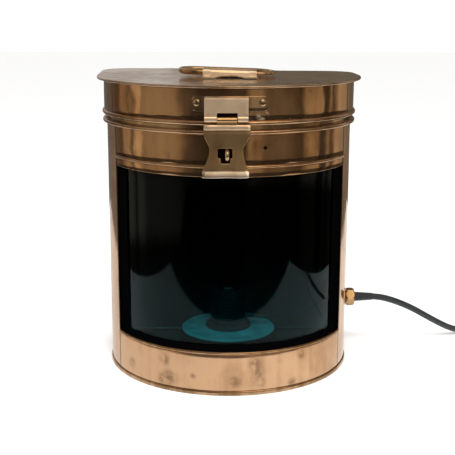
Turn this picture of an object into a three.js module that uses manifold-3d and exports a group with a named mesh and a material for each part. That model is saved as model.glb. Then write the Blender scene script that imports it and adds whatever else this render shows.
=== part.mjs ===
// An electrified ship's stern lantern: D-shaped copper case, curved tinted glass, rear-hinged lid
// with a swinging hasp and a lying ring handle, and a flex that leaves through a brass gland.
// Millimetres, +Z up, front towards -Y, origin under the centre of the front curve.

import * as THREE from 'three';
import { mergeVertices } from 'three/addons/utils/BufferGeometryUtils.js';
import Module from 'manifold-3d';

const wasm = await Module();
wasm.setup();

// ---------------------------------------------------------------- driving dimensions

const GAP = 0.3;                  // left between pieces that touch
const CASE_RADIUS = 120;          // outer face of the front curve
const CASE_BACK = 66;             // the flat back's distance behind the curve's centre
const CORNER = 12;                // radius of the two rear corners
const SHEET = 1.5;                // sheet metal thickness
const ARC_STEP = 90 / 14;         // degrees between the stations of the front curve

const RIM_TOP = 4.5;
const SILL_Z = [40, 42.8];
const HEAD_Z = [214.3, 217];
const CHANNEL_BOTTOM = 206.4;
const CASE_TOP = 244.3;
const TOP_BEAD_Z = [244.6, 248.6];
const COLLAR_Z = [232, 262];
const WINDOW_ANGLE = 10 * ARC_STEP; // half of the front opening, in degrees from the front

const LID_BEAD_Z = [252.6, 257];
const LID_SKIRT_OFFSET = 1.1;
const LID_PLATE_Z = [285.8, 288.3];
const LID_OVERHANG = 9.2;
const LID_CORNER = 24;            // the same on the path that the lid plate overhangs

const HINGE = { y: CASE_BACK + 8.5, z: 250.6, knuckle: 3.4, pin: 1.5, halfWidth: 25 };
const HASP = { x: -2, y: -129, z: 259.6, knuckle: 3.2, pin: 1.4, sheet: 1.5, halfWidth: 19.2 };
const BLADE = { x: -4.2, top: 254.6, bottom: 208.1, lean: 0.033, lip: 2.9 };
const SLOT = { x: -6, width: 13, bottom: 220.2, top: 234 };
const STAPLE = { x: -4.1, bar: 1.9, root: -116, tip: -127.9, legs: [223.3, 231] };
const EARS = { turn: -0.9, halfAngle: 15.6, rivetAngle: 13.2, z: [265.5, 278.6], rivetZ: 273 };
const HANDLE = { x: -2.2, y: -32, z: 292.9, bar: 2.6, halfStraight: 27.8, bend: 17.2 };
const SADDLE = { half: 25.6, tube: 3.8, collar: 4.3, collarLength: 7, arch: 12, rivetX: 18 };

const GASKET = { inner: -3.6, outer: -1.8, sightAngle: 57, sightZ: [48.5, 206], top: 212 };
const GLASS = { inner: -6.9, outer: -3.9, z: [36.9, 211] };
const FONT = { radius: 49, z: [2.3, 29.5], sheet: 1.2, shoulder: 3 }; // the old oil font under the lamp
const HOLDER_FOOT = { radius: 23.5, z: [29.8, 34], screwAt: 20.8 };
const HOLDER = { radius: 18, bore: 14.5, z: [34.3, 64] };
const HOLDER_RING = { bore: 15, radius: 19, z: [64.3, 71.5] };
const BULB = { seat: 46, neck: 80, radius: 22.5, top: 149 };
const INNER_FLEX_RADIUS = 2;

const GLAND = { y: 8, z: 57.5 };
const GLAND_BORE = 5.4;

const CORD_RADIUS = 3.25;
const COIL = { x: 318, y: 40, inner: 28, outer: 48.2, top: 18.3 };
const TAIL_X = 356;
const PLUG = { front: -60, back: -24, neck: 5, half: 13, top: 13.6 };
const PIN = { apart: 18.6, radius: 2, length: 19 };
const RIVET = { head: 3.4, rise: 1.9, shank: 1.4, hole: 1.7 };

const COPPER = 0xb87a52;
const BROWN_COPPER = 0x8a5a38;
const BRASS = 0xb59a6a;
const BLACK = 0x15161a;

// ---------------------------------------------------------------- materials

const metal = (color, roughness) => new THREE.MeshStandardMaterial({ color, roughness, metalness: 1 });
const plain = (color, roughness) => new THREE.MeshStandardMaterial({ color, roughness, metalness: 0 });

const lantern = new THREE.Group();

function add(name, geometry, material) {
  const mesh = new THREE.Mesh(geometry, material);
  mesh.name = name;
  lantern.add(mesh);
}

// ---------------------------------------------------------------- solids, joins and cuts

function toSolid(geometry) {
  const bare = geometry.clone();
  bare.deleteAttribute('normal');
  bare.deleteAttribute('uv');
  const merged = mergeVertices(bare, 1e-4);
  const index = merged.index.array;
  const kept = [];
  for (let i = 0; i < index.length; i += 3) {
    const [a, b, c] = [index[i], index[i + 1], index[i + 2]];
    if (a !== b && b !== c && c !== a) kept.push(a, b, c);
  }
  return new wasm.Manifold(new wasm.Mesh({
    numProp: 3,
    vertProperties: new Float32Array(merged.attributes.position.array),
    triVerts: new Uint32Array(kept),
  }));
}

function toGeometry(solid) {
  const mesh = solid.getMesh();
  const geometry = new THREE.BufferGeometry();
  geometry.setAttribute('position', new THREE.BufferAttribute(new Float32Array(mesh.vertProperties), 3));
  geometry.setIndex(new THREE.BufferAttribute(new Uint32Array(mesh.triVerts), 1));
  geometry.computeVertexNormals();
  return geometry;
}

const join = (...parts) => toGeometry(parts.map(toSolid).reduce((whole, part) => whole.add(part)));
const cut = (body, ...tools) =>
  toGeometry(tools.map(toSolid).reduce((left, tool) => left.subtract(tool), toSolid(body)));

// ---------------------------------------------------------------- shape helpers

const radians = THREE.MathUtils.degToRad;

// A station of a plan path: a point of the nominal outline with the direction that faces out of it.
// The angle is measured from the front, towards +X.
function station(degrees, radius = CASE_RADIUS, centre = [0, 0]) {
  const out = [Math.sin(radians(degrees)), -Math.cos(radians(degrees))];
  return { at: [centre[0] + radius * out[0], centre[1] + radius * out[1]], out };
}

function arcPath(from, to) {
  const count = Math.max(1, Math.round((to - from) / ARC_STEP));
  return Array.from({ length: count + 1 }, (_, i) => station(from + ((to - from) * i) / count));
}

function cornerPath(from, side, radius = CORNER) {
  const centre = [side * (CASE_RADIUS - radius), CASE_BACK - radius];
  return [0, 22.5, 45, 67.5, 90].map((turn) => station(from + turn, radius, centre));
}

// From a point on the right of the front curve, round the back, to one on its left.
const rearPath = (right, left) =>
  [...arcPath(right, 90), ...cornerPath(90, 1), ...cornerPath(180, -1), ...arcPath(270, 360 + left)];
const casePath = (radius) =>
  [...arcPath(-90, 90), ...cornerPath(90, 1, radius), ...cornerPath(180, -1, radius)];

// Sweeps a profile of [distance out of the outline, height] points along a plan path.
function sweep(path, profile, closed = false) {
  const positions = [];
  for (const { at, out } of path) {
    for (const [offset, z] of profile) positions.push(at[0] + offset * out[0], at[1] + offset * out[1], z);
  }
  const n = profile.length;
  const index = [];
  const spans = closed ? path.length : path.length - 1;
  for (let i = 0; i < spans; i++) {
    const here = i * n;
    const next = ((i + 1) % path.length) * n;
    for (let j = 0; j < n; j++) {
      const k = (j + 1) % n;
      index.push(here + j, next + j, next + k, here + j, next + k, here + k);
    }
  }
  if (!closed) {
    const outline = profile.map(([offset, z]) => new THREE.Vector2(offset, z));
    const end = (path.length - 1) * n;
    for (const [a, b, c] of THREE.ShapeUtils.triangulateShape(outline, [])) {
      index.push(a, b, c, end + a, end + c, end + b);
    }
  }
  const geometry = new THREE.BufferGeometry();
  geometry.setAttribute('position', new THREE.Float32BufferAttribute(positions, 3));
  geometry.setIndex(index);
  geometry.computeVertexNormals();
  return geometry;
}

const rectangle = (inner, outer, bottom, top) =>
  [[inner, bottom], [outer, bottom], [outer, top], [inner, top]];

// A flat inside with a round outside, as a wired edge or a rolled bead has.
function beadProfile(inner, outer, bottom, top) {
  const middle = (bottom + top) / 2;
  const half = (top - bottom) / 2;
  const round = [-50, 0, 50].map((turn) => [
    outer - half + half * Math.cos(radians(turn)),
    middle + half * Math.sin(radians(turn)),
  ]);
  return [[inner, bottom], [outer - half, bottom], ...round, [outer - half, top], [inner, top]];
}

function circleProfile(offset, z, radius, sides) {
  return Array.from({ length: sides }, (_, i) => {
    const turn = (2 * Math.PI * i) / sides;
    return [offset + radius * Math.cos(turn), z + radius * Math.sin(turn)];
  });
}

const pointsShape = (points) => new THREE.Shape(points.map(([u, v]) => new THREE.Vector2(u, v)));

// A plan outline raised from one height to another.
const raise = (shape, bottom, top) =>
  new THREE.ExtrudeGeometry(shape, { depth: top - bottom, bevelEnabled: false, curveSegments: 6 })
    .translate(0, 0, bottom);

// A [y, z] outline drawn out along X.
function drawX(shape, from, to) {
  const turn = new THREE.Matrix4().makeBasis(
    new THREE.Vector3(0, 1, 0), new THREE.Vector3(0, 0, 1), new THREE.Vector3(1, 0, 0),
  );
  return new THREE.ExtrudeGeometry(shape, { depth: to - from, bevelEnabled: false, curveSegments: 6 })
    .applyMatrix4(turn)
    .translate(from, 0, 0);
}

// An [x, z] outline drawn out along Y.
function drawY(shape, from, to) {
  return new THREE.ExtrudeGeometry(shape, { depth: to - from, bevelEnabled: false, curveSegments: 6 })
    .rotateX(Math.PI / 2)
    .translate(0, to, 0);
}

const box = (x, y, z) =>
  new THREE.BoxGeometry(x[1] - x[0], y[1] - y[0], z[1] - z[0])
    .translate((x[0] + x[1]) / 2, (y[0] + y[1]) / 2, (z[0] + z[1]) / 2);

const rodX = (radius, from, to, y, z, sides = 12) =>
  new THREE.CylinderGeometry(radius, radius, to - from, sides)
    .rotateZ(-Math.PI / 2)
    .translate((from + to) / 2, y, z);

// A round piece about Z, from [radius, height] points.
const turned = (points, sides = 20) =>
  new THREE.LatheGeometry(points.map(([r, z]) => new THREE.Vector2(r, z)), sides).rotateX(Math.PI / 2);

const ringPoints = (inner, outer, bottom, top) =>
  [[inner, bottom], [outer, bottom], [outer, top], [inner, top], [inner, bottom]];

const caseShape = (offset, radius) =>
  pointsShape(casePath(radius).map(({ at, out }) => [at[0] + offset * out[0], at[1] + offset * out[1]]));

// ---------------------------------------------------------------- rivets

// Stands a +Z piece at a point, facing a direction.
function aim(geometry, at, direction) {
  const facing = new THREE.Vector3(...direction).normalize();
  const turn = new THREE.Quaternion().setFromUnitVectors(new THREE.Vector3(0, 0, 1), facing);
  return geometry.applyQuaternion(turn).translate(...at);
}

// A domed head that stands on z = 0, with its shank going down through what it holds.
const rivet = (at, direction, grip, size = 1) =>
  aim(turned([
    [0, -grip], [RIVET.shank, -grip], [RIVET.shank, 0], [RIVET.head * size, 0],
    [RIVET.head * size * 0.8, RIVET.rise * size * 0.65], [0, RIVET.rise * size],
  ], 10), at, direction);

const hole = (at, direction, radius = RIVET.hole, depth = 20) =>
  aim(new THREE.CylinderGeometry(radius, radius, depth, 10).rotateX(Math.PI / 2), at, direction);

// ---------------------------------------------------------------- case

const hingeRivets = [-17, 17].map((x) => [x, CASE_BACK, 226]);
const bracketRivets = [[-28, 125], [28, 125], [-28, 165], [28, 165]].map(([x, z]) => [x, CASE_BACK, z]);
const BACKWARDS = [0, 1, 0];

function makeCase() {
  const seam = 0.15;
  const rearFrom = WINDOW_ANGLE + seam;
  const frontTo = WINDOW_ANGLE - seam;
  const front = () => arcPath(-frontTo, frontTo);
  const stapleHoles = STAPLE.legs.map((z) =>
    hole([STAPLE.x, -CASE_RADIUS, z], [0, -1, 0], STAPLE.bar + GAP));
  add('base_plate', raise(caseShape(-SHEET - GAP), 0, FONT.z[0] - GAP), metal(BROWN_COPPER, 0.5));
  add('base_rim', sweep(casePath(), rectangle(-SHEET, 1.1, 0, RIM_TOP), true), metal(COPPER, 0.35));
  const wrap = sweep(rearPath(rearFrom, -rearFrom), rectangle(-SHEET, 0, RIM_TOP + GAP, CASE_TOP));
  const glandHole = rodX(GLAND_BORE, 110, 130, GLAND.y, GLAND.z, 16);
  const backHoles = [...hingeRivets, ...bracketRivets].map((at) => hole(at, BACKWARDS));
  add('body_wrap', cut(wrap, glandHole, ...backHoles), metal(COPPER, 0.3));
  add('front_lower_band', sweep(front(), rectangle(-SHEET, 0, RIM_TOP + GAP, SILL_Z[0] - GAP)),
    metal(COPPER, 0.3));
  add('sill_bead', sweep(front(), beadProfile(-SHEET, 1, ...SILL_Z)), metal(COPPER, 0.25));
  const upperBand = sweep(front(), rectangle(-SHEET, 0, HEAD_Z[1] + GAP, CASE_TOP));
  const pinhole = hole([34, -115, 232.5], [34, -115, 0], 1.2);
  add('front_upper_band', cut(upperBand, pinhole, ...stapleHoles), metal(BROWN_COPPER, 0.3));
  add('head_bead', sweep(front(), beadProfile(-SHEET, 1.2, ...HEAD_Z)), metal(COPPER, 0.25));
  add('head_channel', sweep(front(), rectangle(-SHEET, -0.2, CHANNEL_BOTTOM, HEAD_Z[0] - GAP)),
    metal(BROWN_COPPER, 0.25));
  add('body_top_bead', sweep(casePath(), beadProfile(-SHEET, 4, ...TOP_BEAD_Z), true), metal(COPPER, 0.25));
  const collar = sweep(casePath(), rectangle(-2 * SHEET - GAP, -SHEET - GAP, ...COLLAR_Z), true);
  add('lid_collar', cut(collar, ...stapleHoles), metal(BROWN_COPPER, 0.45));
}

// ---------------------------------------------------------------- window

function makeWindow() {
  const glassAngle = WINDOW_ANGLE + 2;
  const guideInner = GLASS.inner - GAP - SHEET;
  const bottom = GLASS.z[0];
  const { inner, outer, sightAngle, sightZ, top } = GASKET;
  const gasketOuter = sweep(arcPath(-glassAngle, glassAngle), rectangle(inner, outer, bottom, top));
  const gasketInner = sweep(arcPath(-sightAngle, sightAngle), rectangle(inner - 4, outer + 4, ...sightZ));
  add('glass_gasket', cut(gasketOuter, gasketInner), plain(BLACK, 0.8));
  const pane = rectangle(GLASS.inner, GLASS.outer, ...GLASS.z);
  add('front_glass', sweep(arcPath(-glassAngle, glassAngle), pane),
    new THREE.MeshStandardMaterial({ color: 0x0b2a30, roughness: 0.05, transparent: true, opacity: 0.5 }));
  const ledge = rectangle(guideInner, outer, bottom - 3.9, bottom - GAP);
  add('glass_ledge', sweep(arcPath(-WINDOW_ANGLE, WINDOW_ANGLE), ledge), metal(BROWN_COPPER, 0.5));
  const lap = WINDOW_ANGLE - 1.5;
  const edge = glassAngle + 0.4;
  const far = glassAngle + 3;
  const behindGlass = GLASS.inner - GAP;
  const guidePlan = [[far, outer], [far, guideInner], [lap, guideInner], [lap, behindGlass],
    [edge, behindGlass], [edge, outer]];
  for (const [name, side] of [['glass_guide_right', 1], ['glass_guide_left', -1]]) {
    const outline = guidePlan.map(([angle, offset]) => station(side * angle, CASE_RADIUS + offset).at);
    add(name, raise(pointsShape(outline), bottom, 216), metal(BROWN_COPPER, 0.5));
  }
}

// ---------------------------------------------------------------- staple, hanging bracket

function makeStaple() {
  const bend = (STAPLE.legs[1] - STAPLE.legs[0]) / 2;
  const middle = STAPLE.legs[0] + bend;
  const route = new THREE.CurvePath();
  const at = (y, z) => new THREE.Vector3(STAPLE.x, y, z);
  const turnY = STAPLE.tip + STAPLE.bar + bend;
  route.add(new THREE.LineCurve3(at(STAPLE.root, STAPLE.legs[0]), at(turnY, STAPLE.legs[0])));
  const round = Array.from({ length: 7 }, (_, i) => {
    const turn = radians(-90 + 30 * i);
    return at(turnY - bend * Math.cos(turn), middle + bend * Math.sin(turn));
  });
  route.add(new THREE.CatmullRomCurve3(round));
  route.add(new THREE.LineCurve3(at(turnY, STAPLE.legs[1]), at(STAPLE.root, STAPLE.legs[1])));
  const section = pointsShape(circleProfile(0, 0, STAPLE.bar, 8));
  const loop = new THREE.ExtrudeGeometry(section, { steps: 22, extrudePath: route, bevelEnabled: false });
  add('hasp_staple', loop, metal(BRASS, 0.25));
}

function makeHangingBracket() {
  const near = CASE_BACK + GAP;
  const far = near + SHEET;
  const top = near + 10;
  const hat = [[-34, near], [-20.5, near], [-20.5, top - SHEET], [20.5, top - SHEET], [20.5, near],
    [34, near], [34, far], [22, far], [22, top], [-22, top], [-22, far], [-34, far]];
  const bracket = cut(raise(pointsShape(hat), 110, 180), ...bracketRivets.map((at) => hole(at, BACKWARDS)));
  add('hanging_bracket', bracket, metal(BRASS, 0.4));
  bracketRivets.forEach(([x, , z], i) =>
    add(`bracket_rivet_${i + 1}`, rivet([x, far + GAP, z], BACKWARDS, 5.5), metal(BRASS, 0.35)));
}

// ---------------------------------------------------------------- lamp

const footScrews = [-HOLDER_FOOT.screwAt, HOLDER_FOOT.screwAt].map((x) => [x, 0, HOLDER_FOOT.z[1] + GAP]);

// The flex inside the case, from the gland over the font to the lamp holder's side.
const INNER_ROUTE = [[111.4, GLAND.y, GLAND.z], [98, 8, 54], [84, 7, 46], [68, 5, 39.5], [50, 3, 37.5],
  [34, 1, 38.5], [18.4, 0, 40]];

function makeLamp() {
  const { radius, z: [low, high], sheet, shoulder } = FONT;
  add('burner_font', turned([
    [radius, low], [radius, high - shoulder], [radius - shoulder, high], [0, high], [0, high - sheet],
    [radius - shoulder - sheet / 2, high - sheet], [radius - sheet, high - shoulder - sheet / 2],
    [radius - sheet, low], [radius, low],
  ], 28), metal(BRASS, 0.4));

  const [footLow, footTop] = HOLDER_FOOT.z;
  const foot = turned([[0, footLow], [HOLDER_FOOT.radius, footLow], [HOLDER_FOOT.radius, footTop - 1],
    [HOLDER_FOOT.radius - 1, footTop], [0, footTop]]);
  add('holder_flange', cut(foot, ...footScrews.map((at) => hole(at, [0, 0, 1]))), plain(BLACK, 0.4));
  const smallHead = 0.6;
  footScrews.forEach((at, i) =>
    add(`holder_screw_${i + 1}`, rivet(at, [0, 0, 1], 3.9, smallHead), metal(BRASS, 0.3)));

  const [bottom, mouth] = HOLDER.z;
  add('lamp_holder', turned([[0, bottom], [HOLDER.radius, bottom], [HOLDER.radius, mouth],
    [HOLDER.bore, mouth], [HOLDER.bore, BULB.seat], [0, BULB.seat]]), plain(BLACK, 0.4));
  const ring = ringPoints(HOLDER_RING.bore, HOLDER_RING.radius, ...HOLDER_RING.z);
  add('holder_ring', turned(ring), plain(BLACK, 0.4));
  const seat = BULB.seat + GAP;
  const cap = [[0, seat], [9, seat], [13.2, seat + 6], [13.2, BULB.neck], [0, BULB.neck]];
  add('bulb_cap', turned(cap), metal(0xb9b9b4, 0.3));
  const neck = BULB.neck + GAP;
  add('bulb_glass', turned([[0, neck], [13, neck], [14, neck + 14], [19, neck + 24],
    [BULB.radius, neck + 37], [BULB.radius, neck + 46], [19, neck + 58], [11, BULB.top - 3],
    [0, BULB.top]]), plain(0xd8d8d0, 0.2));
  const wire = new THREE.CatmullRomCurve3(INNER_ROUTE.map((p) => new THREE.Vector3(...p)));
  const section = pointsShape(circleProfile(0, 0, INNER_FLEX_RADIUS, 8));
  const lead = new THREE.ExtrudeGeometry(section, { steps: 24, extrudePath: wire, bevelEnabled: false });
  add('inner_flex', lead, plain(BLACK, 0.6));
}

// ---------------------------------------------------------------- gland, cord, coil and plug

// The flex from inside the gland, out, down to the ground and up to the coil.
const CORD_ROUTE = [
  [112, GLAND.y, GLAND.z], [131, GLAND.y, GLAND.z], [143, GLAND.y, GLAND.z], [153, 8.2, 57.3],
  [165, 10.5, 54.8], [180, 15.2, 48.8],
  [196, 21, 40.4], [213, 29, 29.4], [229, 38, 18.8], [243, 47, 10.2], [254, 55.4, 5], [264.5, 63, 3.4],
  [275.5, 70.3, 3.3],
];
// The last of the flex, from the top of the coil down into the plug.
const TAIL_ROUTE = [[TAIL_X, 4.5, 10.2], [TAIL_X, -4, 8.8], [TAIL_X, -14, 7.4], [TAIL_X, -23.7, 6.8]];

function flex(name, route, steps) {
  const curve = new THREE.CatmullRomCurve3(route.map((p) => new THREE.Vector3(...p)), false, 'centripetal');
  const section = pointsShape(circleProfile(0, 0, CORD_RADIUS, 8));
  add(name, new THREE.ExtrudeGeometry(section, { steps, extrudePath: curve, bevelEnabled: false }),
    plain(BLACK, 0.55));
}

function makeGland() {
  const along = (points, sides) => turned(points, sides).rotateY(Math.PI / 2).translate(0, GLAND.y, GLAND.z);
  const hex = (r) => pointsShape([0, 60, 120, 180, 240, 300].map((turn) =>
    [GLAND.y + r * Math.cos(radians(turn)), GLAND.z + r * Math.sin(radians(turn))]));
  const bore = (from, to) => rodX(GLAND_BORE, from, to, GLAND.y, GLAND.z, 16);
  add('gland_body', along([[3.6, 109], [5, 109], [5, 120.3], [6.6, 120.3], [6.6, 122.6], [5, 122.6],
    [5, 130.4], [3.6, 130.4], [3.6, 109]], 16), metal(BRASS, 0.35));
  add('gland_nut', cut(drawX(hex(9.5), 122.9, 131.2), bore(120, 135)), metal(COPPER, 0.3));
  add('gland_locknut', cut(drawX(hex(8.5), 113.5, 117.6), bore(110, 120)), metal(BRASS, 0.4));
  add('cord_strain_relief', along([[3.7, 131.5], [5, 131.5], [4.4, 148], [3.9, 151], [3.7, 131.5]], 16),
    plain(BLACK, 0.6));
}

function makeCord() {
  flex('power_cord', CORD_ROUTE, 34);
  flex('cord_tail', TAIL_ROUTE, 4);
  const { inner, outer, top } = COIL;
  const ring = [[inner, 2], [inner + 2, 0], [outer - 2, 0], [outer, 2], [outer, 8], [outer - 7, top],
    [inner + 7, top], [inner, 8], [inner, 2]];
  add('cord_coil', turned(ring, 24).translate(COIL.x, COIL.y, 0), plain(BLACK, 0.55));
  const { front, back, neck, half } = PLUG;
  const rightSide = [[neck, back], [neck + 2, back - 10], [half, back - 20], [half, front]];
  const leftSide = rightSide.map(([x, y]) => [-x, y]).reverse();
  const body = [...rightSide, ...leftSide].map(([x, y]) => [TAIL_X + x, y]);
  add('plug_body', raise(pointsShape(body), 0, PLUG.top), plain(BLACK, 0.5));
  [-1, 1].forEach((side, i) => {
    const pin = new THREE.CylinderGeometry(PIN.radius, PIN.radius, PIN.length, 12)
      .translate(TAIL_X + (side * PIN.apart) / 2, front - GAP - PIN.length / 2, PLUG.top / 2);
    add(`plug_pin_${i + 1}`, pin, metal(0xc8c8c4, 0.25));
  });
}

// ---------------------------------------------------------------- rear hinge

const circle = (y, z, radius) => pointsShape(circleProfile(y, z, radius, 12));
const LID_LEAF_Y = CASE_BACK + LID_SKIRT_OFFSET + SHEET + GAP;
const lidLeafRivets = [-17, 17].map((x) => [x, CASE_BACK, 274]);

function makeRearHinge() {
  const { y, z, knuckle, pin, halfWidth } = HINGE;
  const pinHole = drawX(circle(y, z, pin + GAP), -60, 60);
  const near = CASE_BACK + GAP;
  const bodyPlate = box([-halfWidth, halfWidth], [near, near + SHEET], [212, 242.8]);
  const arm = [[near, 241.3], [y - 1.7, 241.3], [y - 1.7, z], [y - 3.2, z], [y - 3.2, 242.8], [near, 242.8]];
  const spans = [[-halfWidth, -9], [9, halfWidth]];
  const knuckles = spans.flatMap(([from, to]) =>
    [drawX(pointsShape(arm), from, to), drawX(circle(y, z, knuckle), from, to)]);
  const bodyHoles = hingeRivets.map((at) => hole(at, BACKWARDS));
  add('hinge_body_leaf', cut(join(bodyPlate, ...knuckles), pinHole, ...bodyHoles), metal(BRASS, 0.4));
  hingeRivets.forEach(([x, , rivetZ], i) => {
    const head = rivet([x, near + SHEET + GAP, rivetZ], BACKWARDS, 4.4);
    add(`hinge_body_rivet_${i + 1}`, head, metal(BRASS, 0.35));
  });
  add('hinge_pin', rodX(pin, -halfWidth - 2, halfWidth + 2, y, z), metal(BRASS, 0.35));

  const lidPlate = box([-halfWidth, halfWidth], [LID_LEAF_Y, LID_LEAF_Y + SHEET], [262, 283]);
  const drop = [[LID_LEAF_Y, 261], [y - 0.8, 261], [y - 0.8, z], [y + 0.7, z], [y + 0.7, 262.5],
    [LID_LEAF_Y, 262.5]];
  const lidLeaf = cut(
    join(lidPlate, drawX(pointsShape(drop), -8.6, 8.6), drawX(circle(y, z, knuckle), -8.6, 8.6)),
    pinHole, ...lidLeafRivets.map((at) => hole(at, BACKWARDS)));
  add('hinge_lid_leaf', lidLeaf, metal(BRASS, 0.4));
  lidLeafRivets.forEach(([x, , rivetZ], i) =>
    add(`hinge_lid_rivet_${i + 1}`, rivet([x, LID_LEAF_Y + SHEET + GAP, rivetZ], BACKWARDS, 4.4),
      metal(BRASS, 0.35)));
}

// ---------------------------------------------------------------- lid

const haspRivets = [-EARS.rivetAngle, EARS.rivetAngle].map((angle) => angle + EARS.turn);
const haspRivetHoles = () => haspRivets.map((angle) => {
  const { at, out } = station(angle);
  return hole([...at, EARS.rivetZ], [...out, 0]);
});
const saddleRivets = [-SADDLE.rivetX, SADDLE.rivetX].map((x) => [x, -21, LID_PLATE_Z[1]]);

function makeLid() {
  const skirtOut = LID_SKIRT_OFFSET + SHEET;
  const skirtWall = rectangle(LID_SKIRT_OFFSET, skirtOut, LID_BEAD_Z[1] + GAP, LID_PLATE_Z[0] - GAP);
  const skirt = sweep(casePath(), skirtWall, true);
  add('lid_skirt', cut(skirt, ...haspRivetHoles(), ...lidLeafRivets.map((at) => hole(at, BACKWARDS))),
    metal(BROWN_COPPER, 0.3));
  add('lid_bead', sweep(casePath(), beadProfile(-1, 4.5, ...LID_BEAD_Z), true), metal(COPPER, 0.25));
  const plate = raise(caseShape(LID_OVERHANG, LID_CORNER), ...LID_PLATE_Z);
  const saddleHoles = saddleRivets.map((at) => hole(at, [0, 0, 1]));
  add('lid_top_plate', cut(plate, ...saddleHoles), metal(BROWN_COPPER, 0.35));
}

// ---------------------------------------------------------------- hasp and its hinge plate

const haspPinHole = () => drawX(circle(HASP.y, HASP.z, HASP.pin + GAP), -40, 40);

// The fixed half: ears riveted to the skirt, a raised strap with a folded top, and two knuckles.
function makeHaspHingePlate() {
  const { x, y, z, knuckle, sheet, halfWidth } = HASP;
  const skirtFace = LID_SKIRT_OFFSET + SHEET + GAP;
  const earsPath = arcPath(EARS.turn - EARS.halfAngle, EARS.turn + EARS.halfAngle);
  const ears = sweep(earsPath, rectangle(skirtFace, skirtFace + SHEET, ...EARS.z));
  const strapY = [-130.4, -130.4 + sheet];
  const strapZ = [263.8, 277.9];
  const strap = box([x - halfWidth, x + halfWidth], strapY, strapZ);
  const foldY = [strapY[0], -CASE_RADIUS - skirtFace];
  const fold = box([x - halfWidth, x + halfWidth], foldY, [strapZ[1] - sheet, strapZ[1]]);
  const notch = box([x - 9.4, x + 9.8], [strapY[0] - 1, strapY[1] + 1], [strapZ[0] - 1, strapZ[0] + 3.2]);
  const spans = [[x - halfWidth, x - 9.4], [x + 9.8, x + halfWidth]];
  const knuckles = spans.flatMap(([from, to]) =>
    [box([from, to], strapY, [z, strapZ[0] + 0.4]), drawX(circle(y, z, knuckle), from, to)]);
  const plate = join(ears, strap, fold, ...knuckles);
  add('hasp_hinge_plate', cut(plate, haspPinHole(), notch, ...haspRivetHoles()), metal(BRASS, 0.3));
  const headAt = CASE_RADIUS + skirtFace + SHEET + GAP;
  haspRivets.forEach((angle, i) => {
    const { at, out } = station(angle, headAt);
    add(`hasp_plate_rivet_${i + 1}`, rivet([...at, EARS.rivetZ], [...out, 0], 5), metal(BRASS, 0.3));
  });
  add('hasp_pin', rodX(HASP.pin, x - halfWidth - 1, x + halfWidth + 1, y, z), metal(BRASS, 0.3));
}

// The swinging half. It hangs a little to the left and leans, as a worn hinge lets it.
function makeHasp() {
  const { x, y, z, knuckle, sheet } = HASP;
  const { top, bottom, lean, lip } = BLADE;
  const middle = (height) => BLADE.x - lean * (top - height);
  const side = [[18.6, bottom + 0.7], [20, 215], [14.8, 232.8], [15.6, 242], [20.4, 246], [20.4, top]];
  const right = side.map(([half, height]) => [middle(height) + half, height]);
  const left = side.map(([half, height]) => [middle(height) - half, height]).reverse();
  const tongue = [[x + 9.2, top], [x + 9.2, z], [x - 9, z], [x - 9, top]];
  const blade = drawY(pointsShape([...right, ...tongue, ...left]), y - sheet / 2, y + sheet / 2);
  const lipMiddle = middle(bottom);
  const rolledLip = drawX(circle(y - 1.7, bottom + lip, lip), lipMiddle - 20.5, lipMiddle + 20.5);
  const centreKnuckle = drawX(circle(y, z, knuckle), x - 9, x + 9.2);
  const slotX = [SLOT.x - SLOT.width / 2, SLOT.x + SLOT.width / 2];
  const slot = box(slotX, [y - 6, y + 6], [SLOT.bottom, SLOT.top]);
  add('hasp_plate', cut(join(blade, rolledLip, centreKnuckle), haspPinHole(), slot), metal(BRASS, 0.3));
}

// ---------------------------------------------------------------- ring handle and saddle

function ringPath() {
  const { x, y, halfStraight, bend } = HANDLE;
  const turns = Array.from({ length: 10 }, (_, i) => i * 20);
  const right = turns.map((turn) => station(turn, bend, [x + halfStraight, y + bend]));
  const left = turns.map((turn) => station(180 + turn, bend, [x - halfStraight, y + bend]));
  return [...right, ...left];
}

// A tube that holds the ring's front bar, with a collar at each end and a strap down on either side.
function makeHandle() {
  const { y, z, bar } = HANDLE;
  add('ring_handle', sweep(ringPath(), circleProfile(0, z, bar, 10), true), metal(COPPER, 0.25));

  const { half, collar, collarLength } = SADDLE;
  const floor = LID_PLATE_Z[1] + GAP;
  const tube = drawX(circle(y, z, SADDLE.tube), -half, half);
  const front = [[y + 1, z - 3], [y - 3, z - 0.8], [y - 17, floor + SHEET], [y - 23, floor + SHEET],
    [y - 23, floor], [y - 18, floor], [y - 4, z - 3.6]];
  const rear = [[y - 1, z - 3], [y + 2, z - 3.6], [y + 5, floor], [y + 17, floor], [y + 17, floor + SHEET],
    [y + 6.5, floor + SHEET], [y + 3.4, z - 1.2]];
  const straps = [front, rear].map((outline) => drawX(pointsShape(outline), -half, half));
  const collarSpans = [[-half, collarLength - half], [half - collarLength, half]];
  const collars = collarSpans.map(([from, to]) => drawX(circle(y, z, collar), from, to));
  const arch = new THREE.CylinderGeometry(SADDLE.arch, SADDLE.arch, 20, 16)
    .scale(1, 1, 0.3)
    .translate(0, y - 16, floor - 1.2);
  const bore = drawX(circle(y, z, bar + 0.4), -40, 40);
  const rivetHoles = saddleRivets.map((at) => hole(at, [0, 0, 1]));
  const saddle = cut(join(tube, ...collars, ...straps), bore, arch, ...rivetHoles);
  add('handle_saddle', saddle, metal(BRASS, 0.3));
  saddleRivets.forEach(([x, rivetY], i) => {
    const head = rivet([x, rivetY, floor + SHEET + GAP], [0, 0, 1], 5, 0.6);
    add(`saddle_rivet_${i + 1}`, head, metal(BRASS, 0.3));
  });
}

makeCase();
makeWindow();
makeStaple();
makeHangingBracket();
makeLamp();
makeGland();
makeCord();
makeRearHinge();
makeLid();
makeHaspHingePlate();
makeHasp();
makeHandle();

export default lantern;
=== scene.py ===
import math

import bmesh
import bpy
from mathutils import Matrix, Vector, noise


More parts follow.
